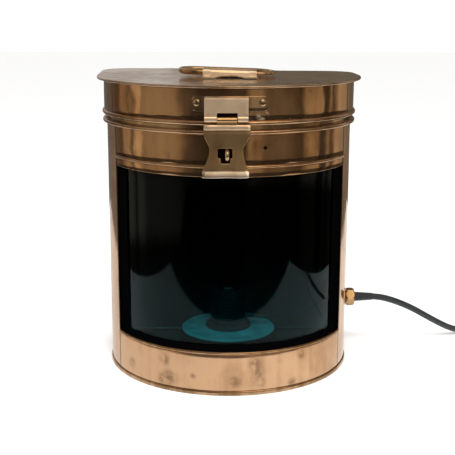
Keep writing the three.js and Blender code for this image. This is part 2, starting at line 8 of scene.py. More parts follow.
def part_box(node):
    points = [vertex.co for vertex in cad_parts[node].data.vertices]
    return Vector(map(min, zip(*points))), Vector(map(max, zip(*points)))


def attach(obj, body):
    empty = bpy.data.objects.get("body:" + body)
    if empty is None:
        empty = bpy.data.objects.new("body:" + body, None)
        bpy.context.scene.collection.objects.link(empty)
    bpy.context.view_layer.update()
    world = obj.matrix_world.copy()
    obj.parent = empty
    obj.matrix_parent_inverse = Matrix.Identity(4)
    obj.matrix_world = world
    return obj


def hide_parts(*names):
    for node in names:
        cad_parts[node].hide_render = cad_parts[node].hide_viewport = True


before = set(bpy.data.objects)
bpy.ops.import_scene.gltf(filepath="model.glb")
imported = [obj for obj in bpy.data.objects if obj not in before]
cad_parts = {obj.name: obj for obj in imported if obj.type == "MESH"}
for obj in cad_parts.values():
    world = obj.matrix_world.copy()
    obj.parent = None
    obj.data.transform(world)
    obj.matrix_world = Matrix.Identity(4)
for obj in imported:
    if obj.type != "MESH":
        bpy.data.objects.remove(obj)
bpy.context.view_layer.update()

MM = 0.001

# ---------------------------------------------------------------- places taken from the frame

low_of = {name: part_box(name)[0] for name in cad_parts}
high_of = {name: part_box(name)[1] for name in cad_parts}


def middle_of(node):
    return [(low + high) / 2 for low, high in zip(low_of[node], high_of[node])]


def turned_size(node):
    """Bottom, top and radius in millimetres of a node that is turned about the lamp's axis."""
    return low_of[node].z / MM, high_of[node].z / MM, high_of[node].x / MM


RADIUS = -low_of["front_lower_band"].y      # outer face of the front curve
BACK = high_of["body_wrap"].y               # flat back
CORNER = 12 * MM
LID_CORNER = 24 * MM        # on the path that the lid plate overhangs
WINDOW = math.degrees(math.asin(high_of["front_lower_band"].x / RADIUS))   # half of the front opening

# ---------------------------------------------------------------- camera

CAMERA_AT = (-0.0224, -0.9936, 0.3616)
CAMERA_PITCH = 12.92      # degrees below level
CAMERA_YAW = 1.235        # degrees to the right
CAMERA_ROLL = -0.15       # degrees clockwise
FOCAL_WIDTHS = 2.1978     # focal length in widths of the sensor


def make_camera():
    camera = bpy.data.objects.new("camera", bpy.data.cameras.new("camera"))
    bpy.context.scene.collection.objects.link(camera)
    camera.data.sensor_width = 36
    camera.data.lens = 36 * FOCAL_WIDTHS
    camera.data.clip_start = 0.05
    camera.data.clip_end = 30
    turn = Matrix.Rotation(math.radians(-CAMERA_YAW), 4, "Z")
    tilt = Matrix.Rotation(math.radians(90 - CAMERA_PITCH), 4, "X")
    roll = Matrix.Rotation(math.radians(-CAMERA_ROLL), 4, "Z")
    camera.matrix_world = Matrix.Translation(CAMERA_AT) @ turn @ tilt @ roll
    bpy.context.scene.camera = camera


make_camera()

# ---------------------------------------------------------------- shader building


class Shader:
    """A material whose nodes are added one call at a time. Inputs are values or sockets to link."""

    def __init__(self, name, owner=None):
        self.material = owner or bpy.data.materials.new(name)
        self.material.use_nodes = True
        self.tree = self.material.node_tree
        self.tree.nodes.clear()

    def node(self, kind, inputs=None, **settings):
        made = self.tree.nodes.new("ShaderNode" + kind)
        for key, value in settings.items():
            setattr(made, key, value)
        for key, value in (inputs or {}).items():
            self.feed(made.inputs[key], value)
        return made

    def feed(self, socket, value):
        if isinstance(value, bpy.types.NodeSocket):
            self.tree.links.new(value, socket)
        elif value is not None:
            if socket.type == "RGBA" and len(value) == 3:
                value = (*value, 1)
            socket.default_value = value

    def place(self, stretch=(1, 1, 1)):
        at = self.node("TexCoord").outputs["Object"]
        return self.node("Mapping", {"Vector": at, "Scale": stretch}).outputs["Vector"]

    def noise(self, scale, detail=4, stretch=(1, 1, 1), roughness=0.5):
        made = self.node("TexNoise", {"Vector": self.place(stretch), "Scale": scale, "Detail": detail,
                                      "Roughness": roughness})
        return made.outputs["Fac"]

    def cells(self, scale, stretch=(1, 1, 1)):
        made = self.node("TexVoronoi", {"Vector": self.place(stretch), "Scale": scale, "Randomness": 1})
        return made.outputs["Distance"]

    def map(self, value, start, end, low=0.0, high=1.0):
        made = self.node("MapRange", {"Value": value, "From Min": start, "From Max": end,
                                      "To Min": low, "To Max": high}, interpolation_type="SMOOTHSTEP")
        return made.outputs["Result"]

    def math(self, operation, a, b=None):
        made = self.node("Math", operation=operation)
        self.feed(made.inputs[0], a)
        self.feed(made.inputs[1], b)
        return made.outputs[0]

    def times(self, a, b):
        return self.math("MULTIPLY", a, b)

    def plus(self, a, b):
        return self.math("ADD", a, b)

    def minus(self, a, b):
        return self.math("SUBTRACT", a, b)

    def along(self, axis):
        """How far a point is along one axis of the frame."""
        return self.node("SeparateXYZ", {"Vector": self.node("TexCoord").outputs["Object"]}).outputs[axis]

    def mix(self, share, a, b):
        made = self.node("Mix", data_type="RGBA")
        self.feed(made.inputs[0], share)
        self.feed(made.inputs[6], a)
        self.feed(made.inputs[7], b)
        return made.outputs[2]

    def near(self, centre, radius):
        """1 at a point of the frame, falling to 0 at radius from it."""
        at = self.node("TexCoord").outputs["Object"]
        gap = self.node("VectorMath", operation="DISTANCE")
        self.feed(gap.inputs[0], at)
        gap.inputs[1].default_value = centre
        return self.map(gap.outputs["Value"], radius, 0)

    def front_angle(self):
        """The angle round the case from its front towards +X, in radians."""
        return self.math("ARCTAN2", self.along("X"), self.times(self.along("Y"), -1.0))

    def bump(self, height, distance, strength=1.0):
        made = self.node("Bump", {"Height": height, "Distance": distance, "Strength": strength})
        return made.outputs["Normal"]

    def finish(self, **inputs):
        named = {key.replace("_", " "): value for key, value in inputs.items()}
        surface = self.node("BsdfPrincipled", named)
        out = self.node("OutputMaterial")
        self.tree.links.new(surface.outputs["BSDF"], out.inputs["Surface"])
        return self.material


# ---------------------------------------------------------------- materials

BROWN_SPOT = (0.15, 0.075, 0.035)
FRESH_BRASS = (0.82, 0.64, 0.42)
OLD_BRASS = (0.40, 0.26, 0.13)
VERDIGRIS = (0.10, 0.30, 0.30)


def worn_metal(name, fresh, old, age, rough=(0.1, 0.26), spots=1.0, marks=(), green=(), dull=0.05, seam=None,
               shade_and_grime=(), uneven=0.4):
    """Polished old sheet: clouds and runs of tarnish, small dark pits, fine wiping scratches.
    age is the share of old metal from 0 to 1, dull the share of light that a film of oxide scatters.
    marks, green and the near-black spots after seam are (centre, radius): marks are brown stains, and
    painted shade where they sit below the hasp's hinge ears; green is verdigris; the near-black spots are
    painted shade with some grime. seam is an angle where a soldered edge is dark."""
    s = Shader(name)
    clouds = s.noise(14, 5)
    runs = s.noise(1, 4, stretch=(110, 110, 9))
    patches = s.noise(55, 6, roughness=0.65)
    tarnish = s.plus(s.times(clouds, 0.5), s.times(runs, 0.3))
    tarnish = s.plus(tarnish, s.times(patches, 0.2))
    middle = 0.64 - 0.28 * age
    share = s.map(tarnish, middle - 0.13, middle + 0.13)
    colour = s.mix(share, fresh, old)
    pits = s.map(s.cells(120), 0.13, 0.05)
    rare = s.map(s.noise(60, 2), 0.55, 0.68)
    pit = s.times(s.times(pits, rare), 0.8 * spots)
    colour = s.mix(pit, colour, BROWN_SPOT)
    blot = s.times(s.map(s.noise(34, 5, roughness=0.7), 0.6, 0.72), 0.45 * spots)
    colour = s.mix(blot, colour, BROWN_SPOT)
    ragged = s.noise(150, 4)
    for centre, radius in marks:
        stain = s.times(s.near(centre, radius), s.map(ragged, 0.3, 0.6))
        colour = s.mix(s.times(stain, 0.7), colour, BROWN_SPOT)
    # Near-black spots: painted shade behind the hasp's hinge and blade, with some grime.
    for centre, radius in shade_and_grime:
        stain = s.times(s.map(s.near(centre, radius), 0.0, 0.5), 0.96)
        colour = s.mix(stain, colour, (0.008, 0.006, 0.005))
    metal = 1.0 - dull
    for centre, radius in green:
        stain = s.times(s.near(centre, radius), s.map(ragged, 0.42, 0.58))
        colour = s.mix(stain, colour, VERDIGRIS)
        metal = s.times(s.minus(1.0, stain), metal)
    if seam:
        turn = s.math("ABSOLUTE", s.front_angle())
        gap = s.math("ABSOLUTE", s.minus(turn, math.radians(seam)))
        line = s.map(gap, math.radians(0.95), math.radians(0.35))
        colour = s.mix(s.times(line, 0.85), colour, BROWN_SPOT)
    wiping = s.noise(1, 3, stretch=(40, 40, 900))
    gloss = s.map(s.plus(s.times(share, 0.6), s.times(patches, 0.4)),
                  0.1, 0.9, *rough)
    gloss = s.plus(gloss, s.times(wiping, 0.02))
    gloss = s.plus(gloss, s.times(s.plus(pit, blot), 0.25))
    height = s.plus(s.times(s.noise(45, 3), 0.8), s.times(wiping, 0.04))
    height = s.minus(height, s.times(pit, 0.4))
    normal = s.bump(height, uneven * MM, 0.5)
    return s.finish(Base_Color=colour, Metallic=metal, Roughness=gloss, Normal=normal)


def satin_black(name, colour, rough, grain, dusty=0.25, shine=0.5):
    s = Shader(name)
    speck = s.noise(grain, 4)
    dust = s.map(s.noise(grain * 0.1, 5, roughness=0.7), 0.5, 0.8, 0, dusty)
    shade = s.mix(dust, s.mix(speck, colour, tuple(1.5 * c for c in colour)), (0.09, 0.085, 0.08))
    gloss = s.map(speck, 0.3, 0.7, rough - 0.06, rough + 0.1)
    return s.finish(Base_Color=shade, Roughness=gloss, Specular_IOR_Level=shine,
                    Normal=s.bump(speck, 0.08 * MM, 0.4))


def bright_nickel():
    s = Shader("nickel")
    haze = s.noise(160, 4)
    colour = s.mix(haze, (0.78, 0.76, 0.72), (0.6, 0.57, 0.52))
    return s.finish(Base_Color=colour, Metallic=1.0, Roughness=s.map(haze, 0.3, 0.7, 0.15, 0.35))


def lamp_glass(name, tint, other, index, smear=(0.015, 0.05)):
    """Coloured glass with faint smears, which lamps shine straight through."""
    s = Shader(name)
    film = s.noise(22, 4, stretch=(1, 1, 0.4))
    glass = s.node("BsdfPrincipled", {
        "Base Color": s.mix(film, tint, other), "Roughness": s.map(film, 0.35, 0.7, *smear), "IOR": index,
        "Transmission Weight": 1.0,
    })
    clear = s.node("BsdfTransparent", {"Color": tuple(math.sqrt(c) for c in tint) + (1,)})
    lamp_ray = s.node("LightPath").outputs["Is Shadow Ray"]
    both = s.node("MixShader")
    s.feed(both.inputs[0], lamp_ray)
    s.feed(both.inputs[1], glass.outputs["BSDF"])
    s.feed(both.inputs[2], clear.outputs["BSDF"])
    s.feed(s.node("OutputMaterial").inputs["Surface"], both.outputs["Shader"])
    return s.material


def height_of(s, low, high):
    """0 below one height of the frame and 1 above another."""
    return s.map(s.along("Z"), low, high)


def soot_and_shade_inside():
    """Near black: old lamp smoke, darkened further as painted shade of the closed case. Brown at the bottom.
    """
    s = Shader("soot_and_shade_inside")
    cloud = s.noise(26, 5, roughness=0.6)
    black = s.mix(cloud, (0.0015, 0.0012, 0.001), (0.004, 0.003, 0.002))
    bare = s.mix(cloud, (0.10, 0.08, 0.06), (0.06, 0.05, 0.04))
    colour = s.mix(height_of(s, 0.03, 0.10), bare, black)
    return s.finish(Base_Color=colour, Roughness=0.95, Specular_IOR_Level=0.0)


def old_tin():
    """The pale top of the old oil font. Its side is black."""
    s = Shader("old_tin")
    cloud = s.noise(60, 5, roughness=0.6)
    pale = s.mix(s.map(cloud, 0.35, 0.65), (0.56, 0.60, 0.60), (0.38, 0.42, 0.42))
    colour = s.mix(height_of(s, 0.0272, 0.0288), (0.004, 0.004, 0.004), pale)
    return s.finish(Base_Color=colour, Roughness=s.map(cloud, 0.3, 0.7, 0.6, 0.8), Specular_IOR_Level=0.0)


def front_point(degrees, z):
    """A point on the front curve, at an angle from the front towards +X."""
    a = math.radians(degrees)
    return (RADIUS * math.sin(a), -RADIUS * math.cos(a), z)


BAND_MARKS = [
    (front_point(-64, 0.036), 0.006), (front_point(-31, 0.030), 0.009), (front_point(-29, 0.013), 0.012),
    (front_point(-33, 0.010), 0.008), (front_point(-17, 0.018), 0.005), (front_point(11, 0.031), 0.010),
    (front_point(12.5, 0.022), 0.009), (front_point(13, 0.012), 0.009), (front_point(34, 0.033), 0.007),
    (front_point(29, 0.008), 0.007), (front_point(2, 0.014), 0.008), (front_point(-52, 0.016), 0.008),
]
EAR_STAIN = (0.0265, -0.1215, 0.2625)
# Near-black spots on the lid skirt: painted shade in the pocket behind the hasp's hinge and behind the
# blade, and one small dark spot beside the blade.
HASP_DARK_SPOTS = [((-0.002, -0.1215, 0.2615), 0.019), ((-0.006, -0.1205, 0.2270), 0.013),
                ((0.0298, -0.1162, 0.2325), 0.0024)]

polished = worn_metal("polished_copper", (0.74, 0.45, 0.26), (0.50, 0.28, 0.14), 0.28, (0.1, 0.2), 0.7,
                      BAND_MARKS, dull=0.06, seam=WINDOW, uneven=0.6)
# Darker copper for the upper band, window head strip and lid skirt: tarnish, and painted shade of the dim
# room that these faces reflect.
tarnished_shaded = worn_metal("toned_copper", (0.66, 0.395, 0.205), (0.42, 0.215, 0.095), 0.45, (0.04, 0.13), 0.8,
                   # The two brown marks below the hasp's hinge ears are painted shade.
                   [((-0.030, -0.119, 0.2640), 0.011), ((0.022, -0.1205, 0.2630), 0.011)],
                   [(EAR_STAIN, 0.008)], 0.02, WINDOW, HASP_DARK_SPOTS, 0.7)
# Darker, older copper for the rolled beads: tarnish, and painted shade against the bright surroundings that
# their round faces reflect.
beading = worn_metal("bead_copper", (0.66, 0.42, 0.25), (0.30, 0.16, 0.07), 0.55, (0.12, 0.26), 0.9,
                       dull=0.03)
lid_top = worn_metal("lid_top_copper", (0.58, 0.41, 0.28), (0.40, 0.25, 0.15), 0.45, (0.12, 0.22), 0.6,
                     dull=0.05, uneven=0.2)
brass = worn_metal("worn_brass", FRESH_BRASS, OLD_BRASS, 0.3, (0.1, 0.24), 0.8)
# Paler brass for the hasp's lip and the handle's tube: rubbed by wear, and lightened as painted highlight.
rubbed_highlight_brass = worn_metal("rubbed_and_highlight_brass", (0.72, 0.62, 0.51), (0.5, 0.34, 0.18), 0.3, (0.08, 0.2), 0.6)
# The hasp's blade and its strap are two copies of one brass: the blade's darker, warmer colour is painted
# shade of the dim room it faces, and the strap's lighter, duller colour is painted light where it lies under
# the lid's overhang.
blade_brass_shaded = worn_metal("hasp_brass_shaded", (0.84, 0.54, 0.26), (0.36, 0.19, 0.07), 0.45, (0.06, 0.2), 1.0,
                         dull=0.08, uneven=0.2)
strap_brass_lit = worn_metal("strap_brass_lit", (0.76, 0.55, 0.36), (0.46, 0.29, 0.14), 0.3, (0.08, 0.2), 0.8,
                         dull=0.22, uneven=0.08)
brown_brass = worn_metal("brown_brass", (0.62, 0.42, 0.24), (0.34, 0.19, 0.08), 0.45, (0.1, 0.24), 0.9,
                         dull=0.03)
# Near-black metal for the bulb cap and the hasp's hinge pin: painted shade that keeps them dark.
dark_metal_painted_shade = worn_metal("dark_metal_painted_shade", (0.06, 0.055, 0.05), (0.04, 0.035, 0.03), 0.3, (0.3, 0.45), 0.5)
pale_tin = old_tin()
soot_and_shade = soot_and_shade_inside()
glass = lamp_glass("tinted_glass", (0.045, 0.33, 0.36), (0.037, 0.295, 0.33), 1.24)
bulb_clear = lamp_glass("bulb_glass", (0.3, 0.3, 0.28), (0.2, 0.2, 0.18), 1.12, (0.04, 0.1))
nickel = bright_nickel()
rubber = satin_black("cord_rubber", (0.014, 0.017, 0.019), 0.42, 900, 0.15)
gasket_black = satin_black("gasket_putty", (0.0008, 0.0008, 0.001), 0.9, 500, 0, 0.0)
plastic = satin_black("moulded_plastic", (0.02, 0.02, 0.022), 0.38, 1200)

# ---------------------------------------------------------------- pieces and shapes


def piece(name, verts, faces, body, material, replaces=(), sharp=38, inside=None, inner_faces=()):
    mesh = bpy.data.meshes.new(name)
    mesh.from_pydata([tuple(v) for v in verts], [], faces)
    mesh.materials.append(material)
    if inside:
        mesh.materials.append(inside)
        for i in inner_faces:
            mesh.polygons[i].material_index = 1
    work = bmesh.new()
    work.from_mesh(mesh)
    bmesh.ops.remove_doubles(work, verts=work.verts, dist=1e-6)
    bmesh.ops.recalc_face_normals(work, faces=work.faces)
    work.to_mesh(mesh)
    work.free()
    return settle(bpy.data.objects.new(name, mesh), body, replaces, sharp)


def settle(obj, body, replaces=(), sharp=38):
    if obj.name not in bpy.context.scene.collection.objects:
        bpy.context.scene.collection.objects.link(obj)
    obj.data.shade_smooth()
    obj.data.set_sharp_from_angle(angle=math.radians(sharp))
    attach(obj, body)
    if replaces:
        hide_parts(*replaces)
    return obj


def bake_modifiers(obj):
    """Turns a curve or a mesh with modifiers into the plain mesh that it shows."""
    bpy.context.view_layer.update()
    shown = obj.evaluated_get(bpy.context.evaluated_depsgraph_get())
    mesh = bpy.data.meshes.new_from_object(shown)
    name = obj.name
    bpy.data.objects.remove(obj)
    made = bpy.data.objects.new(name, mesh)
    bpy.context.scene.collection.objects.link(made)
    return made


def refined(node, body, material, bevel=0.3 * MM, name=None):
    """A copy of a CAD node with its edges rounded."""
    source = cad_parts[node]
    obj = bpy.data.objects.new(name or "fine_" + node, source.data.copy())
    bpy.context.scene.collection.objects.link(obj)
    work = bmesh.new()
    work.from_mesh(obj.data)
    bmesh.ops.remove_doubles(work, verts=work.verts, dist=2e-5)
    bmesh.ops.dissolve_limit(work, angle_limit=math.radians(1), verts=work.verts, edges=work.edges)
    work.to_mesh(obj.data)
    work.free()
    obj.data.materials.clear()
    obj.data.materials.append(material)
    rounding = obj.modifiers.new("edges", "BEVEL")
    rounding.width = bevel
    rounding.segments = 2
    rounding.limit_method = "ANGLE"
    rounding.angle_limit = math.radians(38)
    rounding.use_clamp_overlap = True
    obj = bake_modifiers(obj)
    return settle(obj, body, [node], 40)


def station(degrees, radius=None, centre=(0, 0)):
    """A point of a plan path, as its position and the direction that faces out of it."""
    a = math.radians(degrees)
    out = (math.sin(a), -math.cos(a))
    r = RADIUS if radius is None else radius
    return (centre[0] + r * out[0], centre[1] + r * out[1]), out


FINE = 1.5       # degrees between stations of the front curve
STRAIGHT = 5 * MM


def arc(start, end, step=FINE):
    count = max(1, round((end - start) / step))
    return [station(start + (end - start) * i / count) for i in range(count + 1)]


def corner(start, side, radius=CORNER):
    centre = (side * (RADIUS - radius), BACK - radius)
    return [station(start + 90 * i / 8, radius, centre) for i in range(9)]


def filled(path, closed):
    """The same path, with stations added along its long straight stretches."""
    result = []
    for i, (at, out) in enumerate(path):
        result.append((at, out))
        if i + 1 < len(path) or closed:
            after = path[(i + 1) % len(path)][0]
            gap = math.dist(at, after)
            count = int(gap // STRAIGHT)
            for k in range(1, count + 1):
                t = k / (count + 1)
                result.append(((at[0] + t * (after[0] - at[0]), at[1] + t * (after[1] - at[1])), out))
    return result


def case_path(radius=CORNER):
    return filled([*arc(-90, 90), *corner(90, 1, radius), *corner(180, -1, radius)], True)


def rear_path(angle):
    return filled([*arc(angle, 90), *corner(90, 1), *corner(180, -1), *arc(270, 360 - angle)], False)


def front_path(angle):
    return arc(-angle, angle)


def divided(profile, step, closed=True):
    """The profile with its long edges divided."""
    result = []
    last = len(profile) if closed else len(profile) - 1
    for i in range(last):
        a, b = profile[i], profile[(i + 1) % len(profile)]
        count = max(1, math.ceil(math.dist(a, b) / step))
        result += [(a[0] + (b[0] - a[0]) * k / count, a[1] + (b[1] - a[1]) * k / count)
                   for k in range(count)]
    return result if closed else [*result, profile[-1]]


def waves(x, y, z, size):
    slow = noise.noise(Vector((x, y, 0.6 * z)) * 26)
    quick = noise.noise(Vector((x + 3, y, z)) * 75)
    return size * (slow + 0.35 * quick)


def sweep(path, profile, closed, wave=0.0, dents=(), inner=None):
    """Verts and faces of a profile of (distance out, height) points swept along a plan path.
    dents are (centre, radius, depth). Also the numbers of the faces between inner's offsets."""
    verts, faces, inside = [], [], []
    for at, out in path:
        for offset, z in profile:
            x, y = at[0] + offset * out[0], at[1] + offset * out[1]
            push = waves(x, y, z, wave) if wave else 0.0
            for centre, radius, depth in dents:
                push -= depth * math.exp(-(math.dist((x, y, z), centre) / radius) ** 2)
            verts.append((x + push * out[0], y + push * out[1], z))
    n = len(profile)
    spans = len(path) if closed else len(path) - 1
    for i in range(spans):
        here, after = i * n, ((i + 1) % len(path)) * n
        for j in range(n):
            k = (j + 1) % n
            if inner is not None and max(profile[j][0], profile[k][0]) <= inner + 1e-6:
                inside.append(len(faces))
            faces.append((here + j, after + j, after + k, here + k))
    if not closed:
        faces.append(tuple(range(n)))
        faces.append(tuple((spans * n) + j for j in reversed(range(n))))
    return verts, faces, inside


def softened(inner, outer, bottom, top, r):
    """A rectangle profile with its corners cut round."""
    corners = [((outer - r, bottom + r), -90), ((outer - r, top - r), 0), ((inner + r, top - r), 90),
               ((inner + r, bottom + r), 180)]
    return [(c[0] + r * math.cos(math.radians(a + t)), c[1] + r * math.sin(math.radians(a + t)))
            for c, a in corners for t in (0, 45, 90)]


def wall(name, node, path, body, material, slot, closed=False, wave=0.12 * MM, dents=(), inside=soot_and_shade,
         inner=-1 * MM, outer=0.0, grow=0.0):
    z0, z1 = low_of[node].z - grow, high_of[node].z + grow
    profile = divided(softened(inner, outer, z0, z1, 0.3 * MM), 5 * MM)
    verts, faces, inner_faces = sweep(path, profile, closed, wave, dents, inner)
    return piece(name, verts, faces, body, material, [node], 50, inside, inner_faces)


def bead(name, node, path, body, material, closed, wave=0.08 * MM, shape=1.0):
    """A rolled edge: round outside, flat where it lies against the sheet."""
    low, high = low_of[node], high_of[node]
    half = (high.z - low.z) / 2
    out = -low.y - RADIUS
    middle = (high.z + low.z) / 2
    reach = half * shape
    inner = -1.2 * MM if out - reach > -1.2 * MM else out - 2 * reach
    turn = [math.radians(a) for a in range(-90, 91, 15)]
    roll = [(out - reach + reach * math.cos(a), middle + half * math.sin(a)) for a in turn]
    profile = [(inner, low.z), *roll, (inner, high.z)]
    verts, faces, _ = sweep(path, profile, closed, wave)
    return piece(name, verts, faces, body, material, [node], 60)


def lathe(name, points, frame_matrix, body, material, replaces=(), segments=48, sharp=38):
    """A piece turned about a matrix's Z from (radius, height) points. A point on the axis closes it."""
    verts, faces, rings = [], [], []
    for r, z in points:
        if r < 1e-9:
            rings.append([len(verts)] * segments)
            verts.append((0, 0, z))
        else:
            rings.append([len(verts) + i for i in range(segments)])
            verts += [(r * math.cos(math.tau * i / segments), r * math.sin(math.tau * i / segments), z)
                      for i in range(segments)]
    hollow = points[0][0] > 1e-9
    pairs = list(zip(rings, rings[1:])) + ([(rings[-1], rings[0])] if hollow else [])
    for a, b in pairs:
        for i in range(segments):
            k = (i + 1) % segments
            corners = [a[i], a[k], b[k], b[i]]
            kept = [c for n, c in enumerate(corners) if c not in corners[:n]]
            if len(kept) > 2:
                faces.append(tuple(kept))
    verts = [frame_matrix @ Vector(v) for v in verts]
    return piece(name, verts, faces, body, material, replaces, sharp)


def along_x(y, z, x=0.0):
    return Matrix.Translation((x, y, z)) @ Matrix.Rotation(math.radians(90), 4, "Y")


def bands(rows, around, start=0):
    """Faces between rings of points, each ring joined to the next."""
    return [(start + r * around + i, start + r * around + (i + 1) % around,
             start + (r + 1) * around + (i + 1) % around, start + (r + 1) * around + i)
            for r in range(rows) for i in range(around)]


def end_caps(rows, around):
    return [tuple(range(around)), tuple(rows * around + i for i in reversed(range(around)))]


def joined(name, parts, body, material, replaces=(), sharp=38):
    """Several (verts, faces) solids as one piece."""
    verts, faces = [], []
    for part_verts, part_faces in parts:
        start = len(verts)
        verts += list(part_verts)
        faces += [tuple(start + i for i in face) for face in part_faces]
    return piece(name, verts, faces, body, material, replaces, sharp)


def tube_x(y, z, radius, bore, x0, x1, segments=32, rounding=0.25 * MM):
    """A round tube along X with eased ends."""
    r = rounding
    section = [(bore, x0 + r), (bore + r, x0), (radius - r, x0), (radius, x0 + r), (radius, x1 - r),
               (radius - r, x1), (bore + r, x1), (bore, x1 - r)]
    return ring_x(y, z, section, segments)


def ring_x(y, z, section, segments=32):
    n = len(section)
    verts = [(x, y + r * math.cos(math.tau * i / segments), z + r * math.sin(math.tau * i / segments))
             for i in range(segments) for r, x in section]
    faces = []
    for i in range(segments):
        here, after = i * n, (i + 1) % segments * n
        faces += [(here + j, here + (j + 1) % n, after + (j + 1) % n, after + j) for j in range(n)]
    return verts, faces


def plate(name, loops, thickness, matrix, bevel=0.35 * MM):
    """A flat plate with holes and rounded edges. loops are closed outlines in the matrix's X and Y."""
    curve = bpy.data.curves.new(name, "CURVE")
    curve.dimensions = "2D"
    curve.fill_mode = "BOTH"
    curve.extrude = thickness / 2 - bevel
    curve.bevel_depth = bevel
    curve.bevel_resolution = 2
    curve.offset = -bevel
    for loop in loops:
        spline = curve.splines.new("POLY")
        spline.points.add(len(loop) - 1)
        for point, (u, v) in zip(spline.points, loop):
            point.co = (u, v, 0, 1)
        spline.use_cyclic_u = True
    obj = bpy.data.objects.new(name, curve)
    bpy.context.scene.collection.objects.link(obj)
    obj = bake_modifiers(obj)
    obj.data.transform(matrix)
    verts = [v.co.copy() for v in obj.data.vertices]
    faces = [tuple(p.vertices) for p in obj.data.polygons]
    bpy.data.objects.remove(obj)
    return verts, faces


def smooth_curve(points, per_span=8, closed=False):
    """Points along a curve through the given ones."""
    n = len(points)
    pts = [Vector(p) for p in points]
    result = []
    spans = n if closed else n - 1
    for i in range(spans):
        if closed:
            p0, p1, p2, p3 = pts[i - 1], pts[i], pts[(i + 1) % n], pts[(i + 2) % n]
        else:
            p1, p2 = pts[i], pts[i + 1]
            p0 = pts[i - 1] if i else 2 * p1 - p2
            p3 = pts[i + 2] if i + 2 < n else 2 * p2 - p1
        for k in range(per_span):
            t = k / per_span
            result.append(0.5 * ((2 * p1) + (p2 - p0) * t + (2 * p0 - 5 * p1 + 4 * p2 - p3) * t * t
                                 + (3 * p1 - p0 - 3 * p2 + p3) * t ** 3))
    if not closed:
        result.append(pts[-1])
    return result


# ---------------------------------------------------------------- flex, coil and plug

CORD_DIAMETER = 6.5 * MM
_, GLAND_Y, GLAND_Z = middle_of("gland_nut")
COIL_AT = middle_of("cord_coil")
PLUG_X = middle_of("plug_body")[0]
PLUG_END = high_of["plug_body"].y
PLUG_Z = high_of["plug_body"].z / 2

CORD_ROUTE = [
    (0.112, GLAND_Y, GLAND_Z), (0.131, GLAND_Y, GLAND_Z), (0.143, GLAND_Y, GLAND_Z), (0.153, 0.0082, 0.0573),
    (0.165, 0.0105, 0.0548), (0.180, 0.0152, 0.0488), (0.196, 0.021, 0.0404), (0.213, 0.029, 0.0294),
    (0.229, 0.038, 0.0188), (0.243, 0.047, 0.0102), (0.254, 0.0554, 0.005), (0.2645, 0.063, 0.0034),
    (0.2755, 0.0703, 0.0033), (0.296, 0.0806, 0.0033),
]
# Radius and height of each turn of the coil: three below, two on them, one on top, and the way out.
COIL_TURNS = [(44.6, 3.3), (38, 3.3), (31.4, 3.3), (34.7, 9.0), (41.3, 9.0), (38, 14.7), (46, 9.8)]
TAIL_ROUTE = [(0.3625, 0.026, 0.0100), (0.3588, 0.012, 0.0096), (0.3565, -0.001, 0.0086),
              (0.356, -0.014, 0.0074), (PLUG_X, PLUG_END - 0.002, PLUG_Z)]


def coil_points(steps=36):
    """Clockwise from the far side. Each turn moves to its own place in its first quarter."""
    points = []
    for i in range(int(6.25 * steps)):
        turns = i / steps
        number = int(turns)
        part = min(1.0, (turns - number) * 4)
        ease = part * part * (3 - 2 * part)
        before = COIL_TURNS[max(0, number - 1)]
        now = COIL_TURNS[number]
        radius = MM * (before[0] + ease * (now[0] - before[0]))
        height = MM * (before[1] + ease * (now[1] - before[1]))
        a = math.pi / 2 - math.tau * turns
        points.append((COIL_AT[0] + radius * math.cos(a), COIL_AT[1] + radius * math.sin(a), height))
    return points


def make_cord():
    start = smooth_curve([*CORD_ROUTE, coil_points()[0]], 6)[:-1]
    end = smooth_curve([coil_points()[-1], *TAIL_ROUTE], 6)[1:]
    line = [*start, *coil_points(), *end]
    curve = bpy.data.curves.new("flex", "CURVE")
    curve.dimensions = "3D"
    curve.bevel_depth = CORD_DIAMETER / 2
    curve.bevel_resolution = 5
    curve.use_fill_caps = True
    spline = curve.splines.new("POLY")
    spline.points.add(len(line) - 1)
    for point, at in zip(spline.points, line):
        point.co = (*at, 1)
    curve.materials.append(rubber)
    obj = bpy.data.objects.new("flex", curve)
    bpy.context.scene.collection.objects.link(obj)
    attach(obj, "case")
    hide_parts("power_cord", "cord_coil", "cord_tail")
    return obj


def make_plug():
    low, high = low_of["plug_body"], high_of["plug_body"]
    half_wide = (high.x - low.x) / 2
    # Share of the length from the cord end, half width and half height at each section.
    sections = [(0.0, 4.2, 4.2), (0.02, 4.8, 4.8), (0.28, 6.2, 5.6), (0.5, 9.5, 6.3), (0.62, 12.2, 6.7),
                (0.7, 13.0, 6.8), (0.97, 13.0, 6.8), (1.0, 12.4, 6.2)]
    smooth = smooth_curve([(s, w * MM, h * MM) for s, w, h in sections], 4)
    rows, around = [], 40
    for share, wide, tall in smooth:
        wide = min(wide, half_wide)
        y = high.y + share * (low.y - high.y)
        row = []
        for i in range(around):
            a = math.tau * i / around
            c, s = math.cos(a), math.sin(a)
            power = 0.6
            row.append((PLUG_X + wide * math.copysign(abs(c) ** power, c), y,
                        PLUG_Z + min(tall, PLUG_Z) * math.copysign(abs(s) ** power, s)))
        rows.append(row)
    verts = [v for row in rows for v in row]
    faces = bands(len(rows) - 1, around) + end_caps(len(rows) - 1, around)
    body = piece("plug", verts, faces, "case", plastic, ["plug_body"])
    pins = []
    for number in (1, 2):
        node = f"plug_pin_{number}"
        low_p, high_p = low_of[node], high_of[node]
        r = (high_p.x - low_p.x) / 2
        long = high_p.y - low_p.y
        root = Matrix.Translation(((low_p.x + high_p.x) / 2, high_p.y, PLUG_Z))
        at = root @ Matrix.Rotation(math.radians(90), 4, "X")
        shape = [(0, -0.001), (r * 0.9, -0.001), (r * 0.9, long * 0.55), (r, long * 0.56), (r, long - r)]
        shape += [(r * math.cos(t), long - r + r * math.sin(t)) for t in (0.4, 0.8, 1.2)] + [(0, long)]
        pins.append(lathe(f"plug_prong_{number}", shape, at, "case", nickel, [node], 24))
    return [body, *pins]


